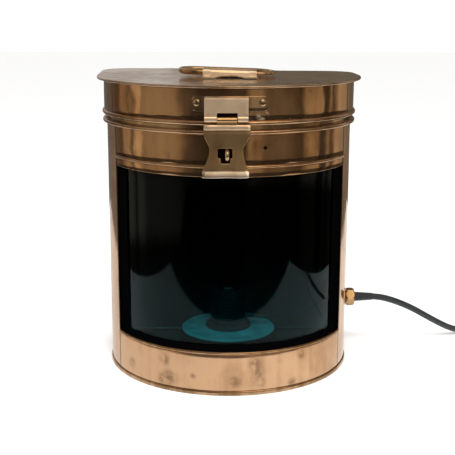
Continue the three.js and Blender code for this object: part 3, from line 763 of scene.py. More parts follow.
def make_gland():
    flip = Matrix.Rotation(math.radians(90), 4, "Y")
    out = Matrix.Translation((0, GLAND_Y, GLAND_Z)) @ flip
    body_low, body_high = low_of["gland_body"].x, high_of["gland_body"].x
    inner = 3.6 * MM
    shape = [(inner, body_low), (5 * MM, body_low), (5 * MM, 0.1203), (6.3 * MM, 0.1204), (6.6 * MM, 0.1208),
             (6.6 * MM, 0.1221), (6.3 * MM, 0.1226), (5 * MM, 0.1227), (5 * MM, body_high - 0.0004),
             (4.7 * MM, body_high), (inner, body_high)]
    lathe("gland_sleeve", shape, out, "case", brown_brass, ["gland_body"], 32)
    nut_low, nut_high = low_of["gland_nut"].x, high_of["gland_nut"].x
    nut = hex_nut("gland_hex_nut", nut_low, nut_high, 9.5 * MM, 5.2 * MM, ["gland_nut"])
    refined("gland_locknut", "case", brown_brass)
    low, high = low_of["cord_strain_relief"].x, high_of["cord_strain_relief"].x
    # Ribs that get smaller along the sleeve.
    ribs = []
    for i in range(7):
        x = low + (high - low) * i / 7
        r = (5 - 1.3 * i / 7) * MM
        ribs += [(r, x + 0.0004), (r, x + 0.0017), (r - 0.45 * MM, x + 0.0021), (r - 0.45 * MM, x + 0.0025)]
    shape = [(3.4 * MM, low), (4.6 * MM, low), *ribs, (3.5 * MM, high), (3.4 * MM, high)]
    relief = lathe("strain_relief_sleeve", shape, out, "case", rubber,
                   ["cord_strain_relief"], 32)
    return nut, relief


def hex_nut(name, x0, x1, reach, bore, replaces):
    """A six-sided nut along X whose corners are turned off at both ends."""
    segments = 72
    sections = [(x0, 0.87), (x0 + 0.0012, 0.975), (x0 + 0.0022, 1.0),
                (x1 - 0.0022, 1.0), (x1 - 0.0012, 0.975), (x1, 0.87)]
    verts, faces = [], []
    for x, cap in sections:
        for i in range(segments):
            a = math.tau * i / segments
            flat = math.cos(math.pi / 6) / math.cos((a % (math.pi / 3)) - math.pi / 6)
            r = reach * min(flat, cap)
            verts.append((x, GLAND_Y + r * math.cos(a), GLAND_Z + r * math.sin(a)))
    for x in (x1, x0):
        verts += [(x, GLAND_Y + bore * math.cos(math.tau * i / segments),
                   GLAND_Z + bore * math.sin(math.tau * i / segments)) for i in range(segments)]
    rings = len(sections) + 2
    for r in range(rings):
        for i in range(segments):
            k = (i + 1) % segments
            after = (r + 1) % rings
            faces.append((r * segments + i, r * segments + k, after * segments + k, after * segments + i))
    return piece(name, verts, faces, "case", brown_brass, replaces, 25)


flex = make_cord()
plug_pieces = make_plug()
gland_pieces = make_gland()

# ---------------------------------------------------------------- case

SLIT = math.degrees(0.1 * MM / RADIUS)     # between the side sheet and the front bands
GLASS_THICKNESS = 3 * MM
GLASS_BEYOND = 1.9                         # degrees that the glass goes past the opening


def make_case():
    band_dents = [(front_point(34, 0.033), 4 * MM, 0.5 * MM), (front_point(-31, 0.029), 6 * MM, 0.25 * MM),
                  (front_point(12, 0.024), 7 * MM, 0.3 * MM), (front_point(-29, 0.013), 6 * MM, 0.25 * MM)]
    side_dents = [((0.120, 0.035, 0.16), 16 * MM, 0.9 * MM), ((-0.120, 0.02, 0.12), 18 * MM, 0.8 * MM),
                  ((0.05, 0.066, 0.07), 20 * MM, 0.8 * MM), ((-0.07, 0.066, 0.2), 14 * MM, 0.6 * MM)]
    wall("case_side_sheet", "body_wrap", rear_path(WINDOW + SLIT), "case", polished, "polished_copper",
         wave=0.2 * MM, dents=side_dents)
    front = front_path(WINDOW - SLIT)
    wall("front_skirt_sheet", "front_lower_band", front, "case", polished, "polished_copper",
         wave=0.14 * MM, dents=band_dents, grow=0.1 * MM)
    wall("front_brow_sheet", "front_upper_band", front, "case", tarnished_shaded, "toned_copper",
         wave=0.3 * MM, grow=0.1 * MM)
    wall("window_head_strip", "head_channel", front, "case", tarnished_shaded, "toned_copper",
         wave=0.1 * MM, outer=-0.3 * MM, inner=-1.3 * MM)
    bead("window_sill_roll", "sill_bead", front, "case", beading, False)
    bead("window_head_roll", "head_bead", front, "case", beading, False)
    outline = case_path()
    bead("case_mouth_roll", "body_top_bead", outline, "case", beading, True, 0.15 * MM)
    bead("foot_rim_roll", "base_rim", outline, "case", beading, True, 0.08 * MM, 0.5)
    wall("lid_seat_collar", "lid_collar", case_path(), "case", brown_brass, "toned_copper", True, 0.05 * MM,
         inner=-3 * MM, outer=-2 * MM)
    dished_sheet("case_floor", "base_plate", -2.0 * MM, "case", soot_and_shade, 0.12 * MM)


def ring_of(path, offset):
    return [(at[0] + offset * out[0], at[1] + offset * out[1]) for at, out in path]


def dished_sheet(name, node, offset, body, material, wave):
    """A flat sheet of the case's outline with a slightly uneven face, above and below."""
    z0, z1 = low_of[node].z, high_of[node].z
    path = case_path()
    n = len(path)
    rim = ring_of(path, offset)
    inner = ring_of(path, offset - 1 * MM)
    rings = [(rim, 1.0, (z0 + z1) / 2 - 0.3 * MM), (rim, 1.0, (z0 + z1) / 2 + 0.3 * MM), (inner, 1.0, z1)]
    rings += [(inner, 1 - k / 22, z1) for k in range(1, 22)]
    verts = [(x * s, y * s, z + (waves(x * s, y * s, z, wave) if s < 1 else 0))
             for ring, s, z in rings for x, y in ring]
    count = len(rings)
    verts.append((0, 0, z1))
    under = [(inner, 1 - k / 4) for k in range(4)]
    verts += [(x * s, y * s, z0) for ring, s in under for x, y in ring]
    verts.append((0, 0, z0))
    faces = bands(count - 1, n)
    top = count * n
    faces += [((count - 1) * n + i, (count - 1) * n + (i + 1) % n, top) for i in range(n)]
    base = top + 1
    for r in range(3):
        faces += [(base + r * n + i, base + (r + 1) * n + i, base + (r + 1) * n + (i + 1) % n,
                   base + r * n + (i + 1) % n) for i in range(n)]
    faces += [(base + 3 * n + i, base + 4 * n, base + 3 * n + (i + 1) % n) for i in range(n)]
    faces += [(i, base + i, base + (i + 1) % n, (i + 1) % n) for i in range(n)]
    return piece(name, verts, faces, body, material, [node], 50)


def make_window():
    low, high = low_of["front_glass"], high_of["front_glass"]
    outer = -low.y - RADIUS
    profile = softened(outer - GLASS_THICKNESS, outer, low.z, high.z, 0.5 * MM)
    angle = WINDOW + GLASS_BEYOND
    verts, faces, _ = sweep(arc(-angle, angle), divided(profile, 12 * MM), False)
    piece("window_glass", verts, faces, "case", glass, ["front_glass"], 50)
    refined("glass_gasket", "case", gasket_black)
    for node in ("glass_ledge", "glass_guide_left", "glass_guide_right"):
        refined(node, "case", soot_and_shade)


def turned_mm(name, points, material, replaces, segments=48):
    """A piece turned about the lamp's own axis, from points in millimetres."""
    lathe(name, [(r * MM, z * MM) for r, z in points], Matrix.Identity(4), "case", material, replaces,
          segments)


def make_lamp():
    low, top, radius = turned_size("burner_font")
    shoulder = [(radius - 4 + 4 * math.sin(math.radians(a)), top - 4 + 4 * math.cos(math.radians(a)))
                for a in range(90, -1, -15)]
    rim = [(radius, low), (radius, low + 1.5), (radius - 0.6, low + 2.2)]
    dish = [(44, top), (43, top - 0.6), (26, top - 0.6), (25, top), (0, top), (0, top - 1.2),
            (radius - 5, top - 1.6), (radius - 1.4, top - 5), (radius - 1.4, low)]
    turned_mm("oil_font", [*rim, *shoulder, *dish], pale_tin, ["burner_font"], 72)
    low, top, r = turned_size("holder_flange")
    base = [(0, low), (r - 0.4, low), (r, low + 0.5), (r, top - 1.2), (r - 1, top), (19, top), (0, top)]
    turned_mm("socket_foot", base, plastic, ["holder_flange"])
    low, top, r = turned_size("lamp_holder")
    shell = [(0, low), (r - 0.5, low), (r, low + 0.5), (r, low + 4)]
    for i in range(6):
        z = low + 5 + 3.6 * i
        shell += [(r, z), (r - 0.6, z + 0.4), (r - 0.6, z + 1.3), (r, z + 1.8)]
    shell += [(r, top - 0.6), (r - 0.5, top), (14.5, top), (14.5, 46), (0, 46)]
    turned_mm("lamp_socket", shell, plastic, ["lamp_holder"])
    low, top, r = turned_size("holder_ring")
    collar = [(15, low), (r - 0.8, low), (r, low + 0.8), (r, low + 2.2), (r - 0.7, low + 2.8),
              (r - 0.7, low + 4), (r, low + 4.6), (r, top - 0.8), (r - 0.8, top), (15, top)]
    turned_mm("socket_shade_ring", collar, plastic, ["holder_ring"])
    low, top, _ = turned_size("bulb_cap")
    cap = [(0, low), (4, low), (9, low + 2), (12, low + 4)]
    for i in range(7):
        z = low + 5.5 + 3.4 * i
        cap += [(13.2, z), (12.2, z + 1.7)]
    cap += [(13.2, top - 2), (13.0, top), (0, top)]
    turned_mm("bulb_screw_cap", cap, dark_metal_painted_shade, ["bulb_cap"])
    low, top, r = turned_size("bulb_glass")
    centre = top - 1.2 * r
    globe = [(0, low), (12.6, low), (13, low + 6), (13.4, low + 14), (15.5, low + 22), (19.4, low + 30)]
    globe += [(r * math.cos(math.radians(a)), centre + 1.2 * r * math.sin(math.radians(a)))
              for a in range(-20, 90, 10)]
    globe.append((0, top))
    turned_mm("bulb_globe", globe, bulb_clear, ["bulb_glass"], 64)
    refined("inner_flex", "case", rubber)


def dome(node, direction, body, material=brass):
    """A hammered rivet or screw head with its shank, facing a direction."""
    low, high = low_of[node], high_of[node]
    facing = Vector(direction).normalized()
    centre = (low + high) / 2
    reach = max(high.x - low.x, high.y - low.y, high.z - low.z) / 2
    turn = facing.to_track_quat("Z", "Y").to_matrix().to_4x4()
    size = [abs(facing.dot(Vector(axis))) for axis in ((1, 0, 0), (0, 1, 0), (0, 0, 1))]
    long = sum(s * (h - l) for s, h, l in zip(size, high, low)) / 2
    head = min(3.4 * MM, min(high.x - low.x, high.z - low.z) / 2 if facing.z < 0.5 else (high.x - low.x) / 2)
    rise = 0.56 * head
    tip = long if abs(facing.x) < 0.01 else reach
    base = tip - rise
    skirt = 0.08 * head
    shape = [(0, -tip), (1.35 * MM, -tip), (1.35 * MM, base), (head * 0.97, base), (head, base + skirt)]
    shape += [(head * math.cos(t), base + skirt + (rise - skirt) * math.sin(t))
              for t in (0.25, 0.5, 0.8, 1.1, 1.35)]
    shape.append((0, tip))
    place = Matrix.Translation(centre) @ turn
    lathe(node + "_head", shape, place, body, material, [node], 28)


def make_rivets():
    # The bracket rivets take the darker brass so that their tails inside the case stay dark: painted shade.
    for i in range(1, 5):
        dome(f"bracket_rivet_{i}", (0, 1, 0), "case", brown_brass)
    for i in (1, 2):
        dome(f"hinge_body_rivet_{i}", (0, 1, 0), "case")
        dome(f"hinge_lid_rivet_{i}", (0, 1, 0), "lid")
        dome(f"holder_screw_{i}", (0, 0, 1), "case")
        dome(f"saddle_rivet_{i}", (0, 0, 1), "lid")
        x, y, _ = middle_of(f"hasp_plate_rivet_{i}")
        dome(f"hasp_plate_rivet_{i}", (x, y, 0), "lid", brown_brass)


def make_back():
    refined("hanging_bracket", "case", brown_brass, 0.5 * MM)
    refined("hinge_body_leaf", "case", brown_brass, 0.35 * MM)
    refined("hinge_lid_leaf", "lid", brown_brass, 0.35 * MM)
    pin_rod("rear_hinge_pin", "hinge_pin", "case")


def pin_rod(name, node, body, material=brass):
    low, high = low_of[node], high_of[node]
    r = (high.z - low.z) / 2
    shape = [(0, low.x), (r * 0.6, low.x + 0.1 * MM), (r, low.x + 0.6 * MM), (r, high.x - 0.6 * MM),
             (r * 0.6, high.x - 0.1 * MM), (0, high.x)]
    _, y, z = middle_of(node)
    lathe(name, shape, along_x(y, z), body, material, [node], 24)


# ---------------------------------------------------------------- lid

def make_lid():
    skirt_dents = [(front_point(-48, 0.272), 9 * MM, 0.6 * MM), (front_point(-36, 0.268), 6 * MM, 0.45 * MM),
                   (front_point(-20, 0.275), 8 * MM, 0.4 * MM), (front_point(38, 0.27), 12 * MM, 0.5 * MM)]
    wall("lid_side_sheet", "lid_skirt", case_path(), "lid", tarnished_shaded, "toned_copper", True, 0.25 * MM,
         skirt_dents, inner=1.3 * MM, outer=2.6 * MM, grow=0.2 * MM)
    bead("lid_wired_edge", "lid_bead", case_path(), "lid", beading, True, 0.18 * MM)
    make_lid_plate()


def plate_level(x, y):
    """How far the hammered lid plate stands from its drawn height: up at left rear, sunk at right rear."""
    rear = min(1.0, max(0.0, (y + 0.01) / 0.07))
    sunk = -1.3 * MM * rear * min(1.0, max(-1.0, x / 0.06))
    slow = 0.35 * MM * noise.noise(Vector((x, y, 0.3)) * 20)
    quick = 0.12 * MM * noise.noise(Vector((x, y, 2)) * 60)
    return sunk + slow + quick - 0.15 * MM


def make_lid_plate():
    """The flat top with its edge folded under."""
    z0, z1 = low_of["lid_top_plate"].z, high_of["lid_top_plate"].z
    reach = -low_of["lid_top_plate"].y - RADIUS
    path = case_path(LID_CORNER)
    n = len(path)
    half = (z1 - z0) / 2
    edge = [(reach - half + half * math.cos(math.radians(a)), z0 + half + half * math.sin(math.radians(a)))
            for a in range(-90, 91, 30)]
    fold = 5.5 * MM
    under = z1 - 1.0 * MM
    lower = [(-6 * MM, under), (reach - fold, under), (reach - fold, z0 + 0.3 * MM),
             (reach - fold + 0.3 * MM, z0)]
    upper = [(reach - fold, z1 - 0.25 * MM), (reach - 2 * fold, z1 - 0.1 * MM), (-6 * MM, z1 - 0.1 * MM)]
    profile = [*lower, *edge, *upper]
    rings = [(ring_of(path, offset), 1.0, z) for offset, z in profile]
    last = rings[-1][0]
    rings += [(last, 1 - k / 26, z1 - 0.1 * MM) for k in range(1, 26)]
    first = rings[0][0]
    rings = [(first, 1 - k / 8, under) for k in range(7, 0, -1)] + rings
    verts = [(x * s, y * s, z + plate_level(x * s, y * s)) for ring, s, z in rings for x, y in ring]
    count = len(rings)
    verts += [(0, 0, z1 - 0.1 * MM + plate_level(0, 0)), (0, 0, under + plate_level(0, 0))]
    faces = bands(count - 1, n)
    faces += [((count - 1) * n + i, (count - 1) * n + (i + 1) % n, count * n) for i in range(n)]
    faces += [((i + 1) % n, i, count * n + 1) for i in range(n)]
    piece("lid_top_sheet", verts, faces, "lid", lid_top, ["lid_top_plate"], 60)


# ---------------------------------------------------------------- hasp

HASP_X = middle_of("hasp_plate")[0]
_, PIN_Y, PIN_Z = middle_of("hasp_pin")
KNUCKLE = 3.2 * MM
PIN_BORE = 1.6 * MM


def facing_front(y):
    """Plate outlines are drawn in X and Z."""
    return Matrix.Translation((0, y, 0)) @ Matrix.Rotation(math.radians(90), 4, "X")


def rounded_corners(points, radius, steps=4):
    """A closed outline with each corner rounded."""
    result = []
    n = len(points)
    for i in range(n):
        before, at, after = (Vector(points[(i + k) % n]) for k in (-1, 0, 1))
        a, b = (before - at), (after - at)
        cut = min(radius, a.length / 2.2, b.length / 2.2)
        start, end = at + a.normalized() * cut, at + b.normalized() * cut
        for k in range(steps + 1):
            t = k / steps
            result.append(((1 - t) ** 2 * start + 2 * t * (1 - t) * at + t * t * end)[:])
    return result


def bar_x(section, x0, x1, steps=24, wave=0.0):
    """A solid bar along X with a (y, z) section in millimetres."""
    n = len(section)
    verts = []
    for k in range(steps + 1):
        x = x0 + (x1 - x0) * k / steps
        ease = 0.5 * MM if k in (0, steps) else 0.0
        middle_y = sum(y for y, _ in section) * MM / n
        middle_z = sum(z for _, z in section) * MM / n
        lift = wave * noise.noise(Vector((x * 90, 0, middle_z * 40)))
        for y, z in section:
            y, z = y * MM, z * MM
            y += math.copysign(min(ease, abs(middle_y - y)), middle_y - y)
            z += math.copysign(min(ease, abs(middle_z - z)), middle_z - z)
            verts.append((x, y, z + lift))
    return verts, bands(steps, n) + end_caps(steps, n)


# The blade's middle and top, in millimetres, and how far it leans to the left for each millimetre down.
BLADE_X = -4.2
BLADE_TOP = 254.6
BLADE_LEAN = 0.033


def blade_middle(z):
    return BLADE_X - BLADE_LEAN * (BLADE_TOP - z)


def make_hasp():
    x = HASP_X
    side = [(20.4, BLADE_TOP), (20.5, 246.4), (19.4, 243.2), (17.0, 239.0), (15.4, 235.6), (14.7, 231.6),
            (15.1, 227.4), (16.4, 222.6), (18.4, 218.2), (19.8, 215.2), (19.9, 210.8)]
    right = [((blade_middle(v) + u) * MM, v * MM) for u, v in side]
    left = [((blade_middle(v) - u) * MM, v * MM) for u, v in reversed(side)]
    slot = [(-12.5, 233.9), (0.5, 233.9), (0.4, 225.0), (-1.4, 225.0),
            (-1.5, 220.4), (-9.9, 220.4), (-9.9, 225.0), (-12.5, 225.0)]
    hole = rounded_corners([(u * MM, v * MM) for u, v in slot], 0.7 * MM)
    blade = plate("blade", [rounded_corners([*right, *left], 1 * MM), hole], 1.4 * MM, facing_front(PIN_Y))
    neck_line = [(x - 8 * MM, 0.2540), (x + 9.2 * MM, 0.2540), (x + 9.2 * MM, 0.2572), (x - 8 * MM, 0.2572)]
    neck = plate("neck", [neck_line], 1.4 * MM, facing_front(PIN_Y - 0.8 * MM))
    knuckle = tube_x(PIN_Y - 0.3 * MM, PIN_Z - 0.8 * MM, 2.5 * MM, PIN_BORE, x - 8 * MM, x + 9.2 * MM)
    joined("hasp_blade", [blade, neck, knuckle], "hasp", blade_brass_shaded, ["hasp_plate"])
    # A folded lip whose worn face looks up a little and shines, and a rib under the knuckles.
    front = PIN_Y / MM
    lip_section = [(front, 214.3), (front - 2.3, 214.2), (front - 2.9, 213.6), (front - 4.3, 209.7),
                   (front - 4.4, 208.9), (front - 3.8, 208.2), (front - 2, 208.1), (front - 0.6, 208.6),
                   (front + 0.6, 210.2), (front + 0.7, 213.6)]
    ridge_section = [(front, 254.5), (front - 1.1, 254.4), (front - 1.9, 253.4), (front - 2.1, 250.6),
                     (front - 1.7, 250.0), (front - 0.4, 249.8)]
    lip_x, ridge_x = blade_middle(210) * MM, blade_middle(252) * MM
    lip = bar_x(lip_section, lip_x - 20.5 * MM, lip_x + 20.5 * MM, wave=0.3 * MM)
    ridge = bar_x(ridge_section, ridge_x - 20.2 * MM, ridge_x + 20.2 * MM, wave=0.3 * MM)
    joined("hasp_lip", [lip], "hasp", rubbed_highlight_brass, ["hasp_plate"], 25)
    joined("hasp_ridge", [ridge], "hasp", strap_brass_lit, ["hasp_plate"], 25)


def make_hinge_plate():
    x, half = HASP_X, 19.2 * MM
    low_z, top = 0.2655, high_of["hasp_hinge_plate"].z
    outer = 4.4 * MM
    turn, angle = -0.9, 15.6
    ears_profile = softened(outer - 1.4 * MM, outer, low_z, top, 0.35 * MM)
    ears_path = arc(turn - angle, turn + angle, 0.75)
    verts, faces, _ = sweep(ears_path, divided(ears_profile, 4 * MM), False, 0.05 * MM)
    # The corners of the ends are rounded by drawing the heights in.
    reach, limit = 3 * MM, angle - math.degrees(3 * MM / RADIUS)
    middle, tall = (low_z + top) / 2, (top - low_z) / 2
    ears = []
    for vx, vy, vz in verts:
        a = abs(math.degrees(math.atan2(vx, -vy)) - turn)
        past = max(0.0, math.radians(a - limit) * RADIUS)
        drawn = reach - math.sqrt(max(0.0, reach * reach - min(past, reach) ** 2))
        share = (vz - middle) / tall
        ears.append((vx, vy, vz - math.copysign(drawn * min(1.0, abs(share)), share)))
    joined("hasp_mount_ears", [(ears, faces)], "lid", brown_brass, ["hasp_hinge_plate"])
    # The strap leans back, with a notch over the middle knuckle.
    lean = math.radians(8)
    strap_y, strap_z = PIN_Y - 1.3 * MM, 0.2705
    tilt = Matrix.Translation((0, strap_y, strap_z)) @ Matrix.Rotation(-lean, 4, "X") @ facing_front(0)
    bottom, notch, edge = 0.2638 - strap_z, 0.2648 - strap_z, top - 1.4 * MM - strap_z
    outline = [(x - half, bottom), (x - 8.2 * MM, bottom), (x - 8.2 * MM, notch), (x + 9.8 * MM, notch),
               (x + 9.8 * MM, bottom), (x + half, bottom), (x + half, edge), (x - half, edge)]
    strap = plate("strap", [rounded_corners(outline, 0.5 * MM)], 1.4 * MM, tilt)
    edge_y = strap_y / MM + (top - 2 * MM - strap_z) / MM * math.sin(lean)
    high = top / MM
    fold = bar_x([(edge_y - 0.7, high - 2.4), (edge_y - 0.3, high - 1.3), (edge_y + 0.8, high - 0.7),
                  (-122.8, high - 0.1), (-122.8, high - 1.3), (edge_y + 0.7, high - 2.4)],
                 x - half, x + half, wave=0.15 * MM)
    parts = [strap, fold]
    for x0, x1 in ((x - half, x - 8.2 * MM), (x + 9.8 * MM, x + half)):
        parts.append(tube_x(PIN_Y, PIN_Z, KNUCKLE, PIN_BORE, x0, x1))
        parts.append(plate("tab", [[(x0, PIN_Z), (x1, PIN_Z), (x1, 0.2645), (x0, 0.2645)]], 1.4 * MM,
                           facing_front(PIN_Y - 1.7 * MM)))
    joined("hasp_mount", parts, "lid", strap_brass_lit, ["hasp_hinge_plate"])
    pin_rod("hasp_hinge_pin", "hasp_pin", "lid", dark_metal_painted_shade)


def make_staple():
    low, high = low_of["hasp_staple"], high_of["hasp_staple"]
    bar = (high.x - low.x) / 2
    x = (low.x + high.x) / 2
    legs = (low.z + bar, high.z - bar)
    bend = (legs[1] - legs[0]) / 2
    turn_y = low.y + bar + bend
    line = [(high.y, legs[0])]
    turns = [math.radians(a) for a in range(-90, 91, 12)]
    line += [(turn_y - bend * math.cos(a), (legs[0] + legs[1]) / 2 + bend * math.sin(a)) for a in turns]
    line += [(high.y, legs[1])]
    sides = 20
    verts = []
    for i, (y, z) in enumerate(line):
        before, after = line[max(0, i - 1)], line[min(len(line) - 1, i + 1)]
        run = Vector((0, after[0] - before[0], after[1] - before[1])).normalized()
        across = run.cross(Vector((1, 0, 0)))
        for k in range(sides):
            a = math.tau * k / sides
            verts.append(Vector((x, y, z)) + bar * (math.cos(a) * Vector((1, 0, 0)) + math.sin(a) * across))
    faces = bands(len(line) - 1, sides) + end_caps(len(line) - 1, sides)
    piece("padlock_staple", verts, faces, "case", brass, ["hasp_staple"])


# ---------------------------------------------------------------- ring handle and saddle

RING_LOW, RING_HIGH = low_of["ring_handle"], high_of["ring_handle"]
RING_BAR = (RING_HIGH.z - RING_LOW.z) / 2
RING_X, _, RING_Z = middle_of("ring_handle")
RING_BEND = (RING_HIGH.y - RING_LOW.y) / 2 - RING_BAR
RING_STRAIGHT = (RING_HIGH.x - RING_LOW.x) / 2 - RING_BAR - RING_BEND
PIVOT_Y = RING_LOW.y + RING_BAR
SADDLE_X = middle_of("handle_saddle")[0]
SADDLE_HALF = (high_of["handle_saddle"].x - low_of["handle_saddle"].x) / 2
SAG = 0.035                 # the ring and its tube slope down to the right
SAG_FROM = -18 * MM         # where along X the slope starts from
RING_RISE = 0.016           # the ring rises towards its rear
RING_DROP = 0.1 * MM
SADDLE_FLOOR = low_of["handle_saddle"].z


def sloped(parts):
    """The same solids, leaning down to the right the more the higher they stand above the lid."""
    return [([(x, y, z - SAG * (x - SAG_FROM) * min(1.0, max(0.0, (z - SADDLE_FLOOR - 1 * MM) / (3 * MM))))
              for x, y, z in verts], faces) for verts, faces in parts]


def make_ring():
    centre_y = PIVOT_Y + RING_BEND
    right = [station(a, RING_BEND, (RING_X + RING_STRAIGHT, centre_y)) for a in range(0, 181, 6)]
    left = [station(180 + a, RING_BEND, (RING_X - RING_STRAIGHT, centre_y)) for a in range(0, 181, 6)]
    path = filled([*right, *left], True)
    circle = [(RING_BAR * math.cos(math.tau * k / 20), RING_Z + RING_BAR * math.sin(math.tau * k / 20))
              for k in range(20)]
    verts, faces, _ = sweep(path, circle, True, 0.12 * MM)
    verts = [(x, y, z + RING_RISE * (y - PIVOT_Y) - RING_DROP) for x, y, z in verts]
    joined("lifting_ring", sloped([(verts, faces)]), "handle", brown_brass,
           ["ring_handle"], 60)


def bent_strap(line, arch, thickness=1.3 * MM, across=40):
    """A sheet that follows a (y, z) line, as wide as the saddle. arch(share) is how much of the line a
    place across the width keeps."""
    def along(t):
        run = [math.dist(a, b) for a, b in zip(line, line[1:])]
        left = t * sum(run)
        for (a, b), d in zip(zip(line, line[1:]), run):
            if left <= d:
                k = left / d
                return a[0] + k * (b[0] - a[0]), a[1] + k * (b[1] - a[1])
            left -= d
        return line[-1]

    rows = 20
    verts = []
    for side in (0, 1):
        for i in range(across + 1):
            share = -1 + 2 * i / across
            for j in range(rows + 1):
                t = arch(share) * j / rows
                y, z = along(t)
                y1, z1 = along(min(1, t + 0.03))
                y0, z0 = along(max(0, t - 0.03))
                run = math.dist((y0, z0), (y1, z1)) or 1
                ny, nz = -(z1 - z0) / run, (y1 - y0) / run
                verts.append((SADDLE_X + share * SADDLE_HALF, y - side * thickness * ny,
                              z - side * thickness * nz))
    n = rows + 1
    total = (across + 1) * n
    faces = [(i * n + j, i * n + j + 1, (i + 1) * n + j + 1, (i + 1) * n + j)
             for i in range(across) for j in range(rows)]
    faces += [tuple(total + k for k in reversed(face)) for face in list(faces)]
    border = [i * n for i in range(across + 1)] + [across * n + j for j in range(1, n)]
    border += [i * n + rows for i in range(across - 1, -1, -1)] + [j for j in range(rows - 1, 0, -1)]
    faces += [(a, b, total + b, total + a) for a, b in zip(border, border[1:] + border[:1])]
    return verts, faces


def make_saddle():
    floor = SADDLE_FLOOR
    y, z = PIVOT_Y, RING_Z
    front = [(y - 0.6 * MM, z + 3.7 * MM), (y - 2.9 * MM, z + 2.6 * MM), (y - 4.2 * MM, z + 0.2 * MM),
             (y - 7 * MM, z - 1.5 * MM), (y - 14 * MM, floor + 1.6 * MM), (y - 17 * MM, floor + 1.2 * MM),
             (y - 23 * MM, floor + 1.2 * MM)]
    rear = [(y + 3.2 * MM, z + 2 * MM), (y + 4 * MM, z - 1 * MM), (y + 5 * MM, floor + 2.2 * MM),
            (y + 6.2 * MM, floor + 1.2 * MM), (y + 17 * MM, floor + 1.2 * MM)]

    def arched(share):
        inside = max(0.0, 1 - (abs(share + 0.02) / 0.5) ** 2)
        return 1 - 0.55 * math.sqrt(inside)

    rear_sheet = bent_strap(rear, lambda share: 1.0, 1.2 * MM)
    front_sheet = bent_strap(front, arched, -1.2 * MM)
    left, right = SADDLE_X - SADDLE_HALF, SADDLE_X + SADDLE_HALF
    tube = tube_x(y, z, 3.8 * MM, 3 * MM, left, right)
    collars = [tube_x(y, z, 4.0 * MM, 3.2 * MM, a, b, rounding=0.7 * MM)
               for a, b in ((left, left + 8 * MM), (right - 7.4 * MM, right))]
    joined("handle_saddle_strap", sloped([front_sheet, rear_sheet]), "lid", strap_brass_lit,
           ["handle_saddle"])
    joined("handle_saddle_tube", sloped([tube, *collars]), "lid", rubbed_highlight_brass,
           ["handle_saddle"])


make_case()
make_window()
make_lamp()
make_rivets()
make_back()
make_lid()
make_hinge_plate()
make_hasp()
make_staple()
make_ring()
make_saddle()

# ---------------------------------------------------------------- floor, cards, lights


def card(name, corners, material, camera=False, glossy=True, diffuse=False):
    mesh = bpy.data.meshes.new(name)
    mesh.from_pydata(corners, [], [(0, 1, 2, 3)])
    mesh.materials.append(material)
    obj = bpy.data.objects.new(name, mesh)
    bpy.context.scene.collection.objects.link(obj)
    obj.visible_camera = camera
    obj.visible_glossy = glossy
    obj.visible_diffuse = diffuse
    obj.visible_transmission = glossy
    obj.visible_shadow = camera
    return obj


def matt(name, colour, to_right=None):
    """A plain surface, or one that changes to another colour towards its right."""
    s = Shader(name)
    grain = s.noise(40, 3)
    shade = s.mix(grain, colour, tuple(0.985 * c for c in colour))
    if to_right:
        shade = s.mix(s.map(s.along("X"), -0.15, 0.15), shade, to_right)
    return s.finish(Base_Color=shade, Roughness=0.9)


ABOVE_TABLE = 0.6 * MM


def strip(name, line, width, material):
    """A ribbon on the table along a line of (x, y) points."""
    for number, (start, end) in enumerate(zip(line, line[1:])):
        along = (Vector(end) - Vector(start)).normalized() * 0.001
        side = Vector((-along.y, along.x)).normalized() * width / 2
        a, b = Vector(start) - along, Vector(end) + along
        corners = [(*corner, ABOVE_TABLE) for corner in (a - side, b - side, b + side, a + side)]
        card(f"{name}_{number}", corners, material)


def make_stage():
    floor = matt("floor_white", (0.94, 0.94, 0.935))
    wide = 6.0
    floor_corners = [(-wide, -wide, 0), (wide, -wide, 0), (wide, wide, 0), (-wide, wide, 0)]
    card("floor", floor_corners, floor, True, False, True)
    # What polished faces and the glass see of the ground: a white table top whose front edge is near the
    # lantern, with a dark lead and a thin wire on it.
    left, right, front, back = -0.455, 0.47, -0.335, 0.75
    card("table_seen_in_metal", [(left, front, 0), (right, front, 0), (right, back, 0), (left, back, 0)],
         matt("table_white", (0.80, 0.80, 0.79), (0.98, 0.98, 0.97)))
    dark = matt("lead_black", (0.012, 0.012, 0.014))
    strip("table_lead", [(0.337, 0.020), (0.465, -0.138)], 20 * MM, dark)
    strip("table_wire", [(0.272, -0.014), (0.334, -0.070), (0.400, -0.130), (0.488, -0.168)], 4 * MM, dark)
    for obj in (flex, *plug_pieces):
        obj.visible_glossy = False


# How bright the room is all round, as (degrees from the front of the lantern towards +X, level).
ROOM = [
    (-180, 0.30), (-135, 0.20), (-119, 0.08), (-114, 0.45), (-106, 0.38), (-102, 0.06), (-98, 0.60),
    (-91, 0.55), (-88, 0.28), (-66, 0.33), (-50, 0.28), (-46, 0.20), (-42, 0.09), (-30, 0.03), (-20, 0.03),
    (0, 0.06),
    (13, 0.07), (18, 0.28), (27, 0.28), (32, 0.14), (56, 0.13), (68, 0.05), (76, 0.42), (90, 0.40),
    (93, 0.04), (100, 0.05), (104, 0.35), (108, 0.04), (118, 0.50), (130, 0.35), (180, 0.30),
]


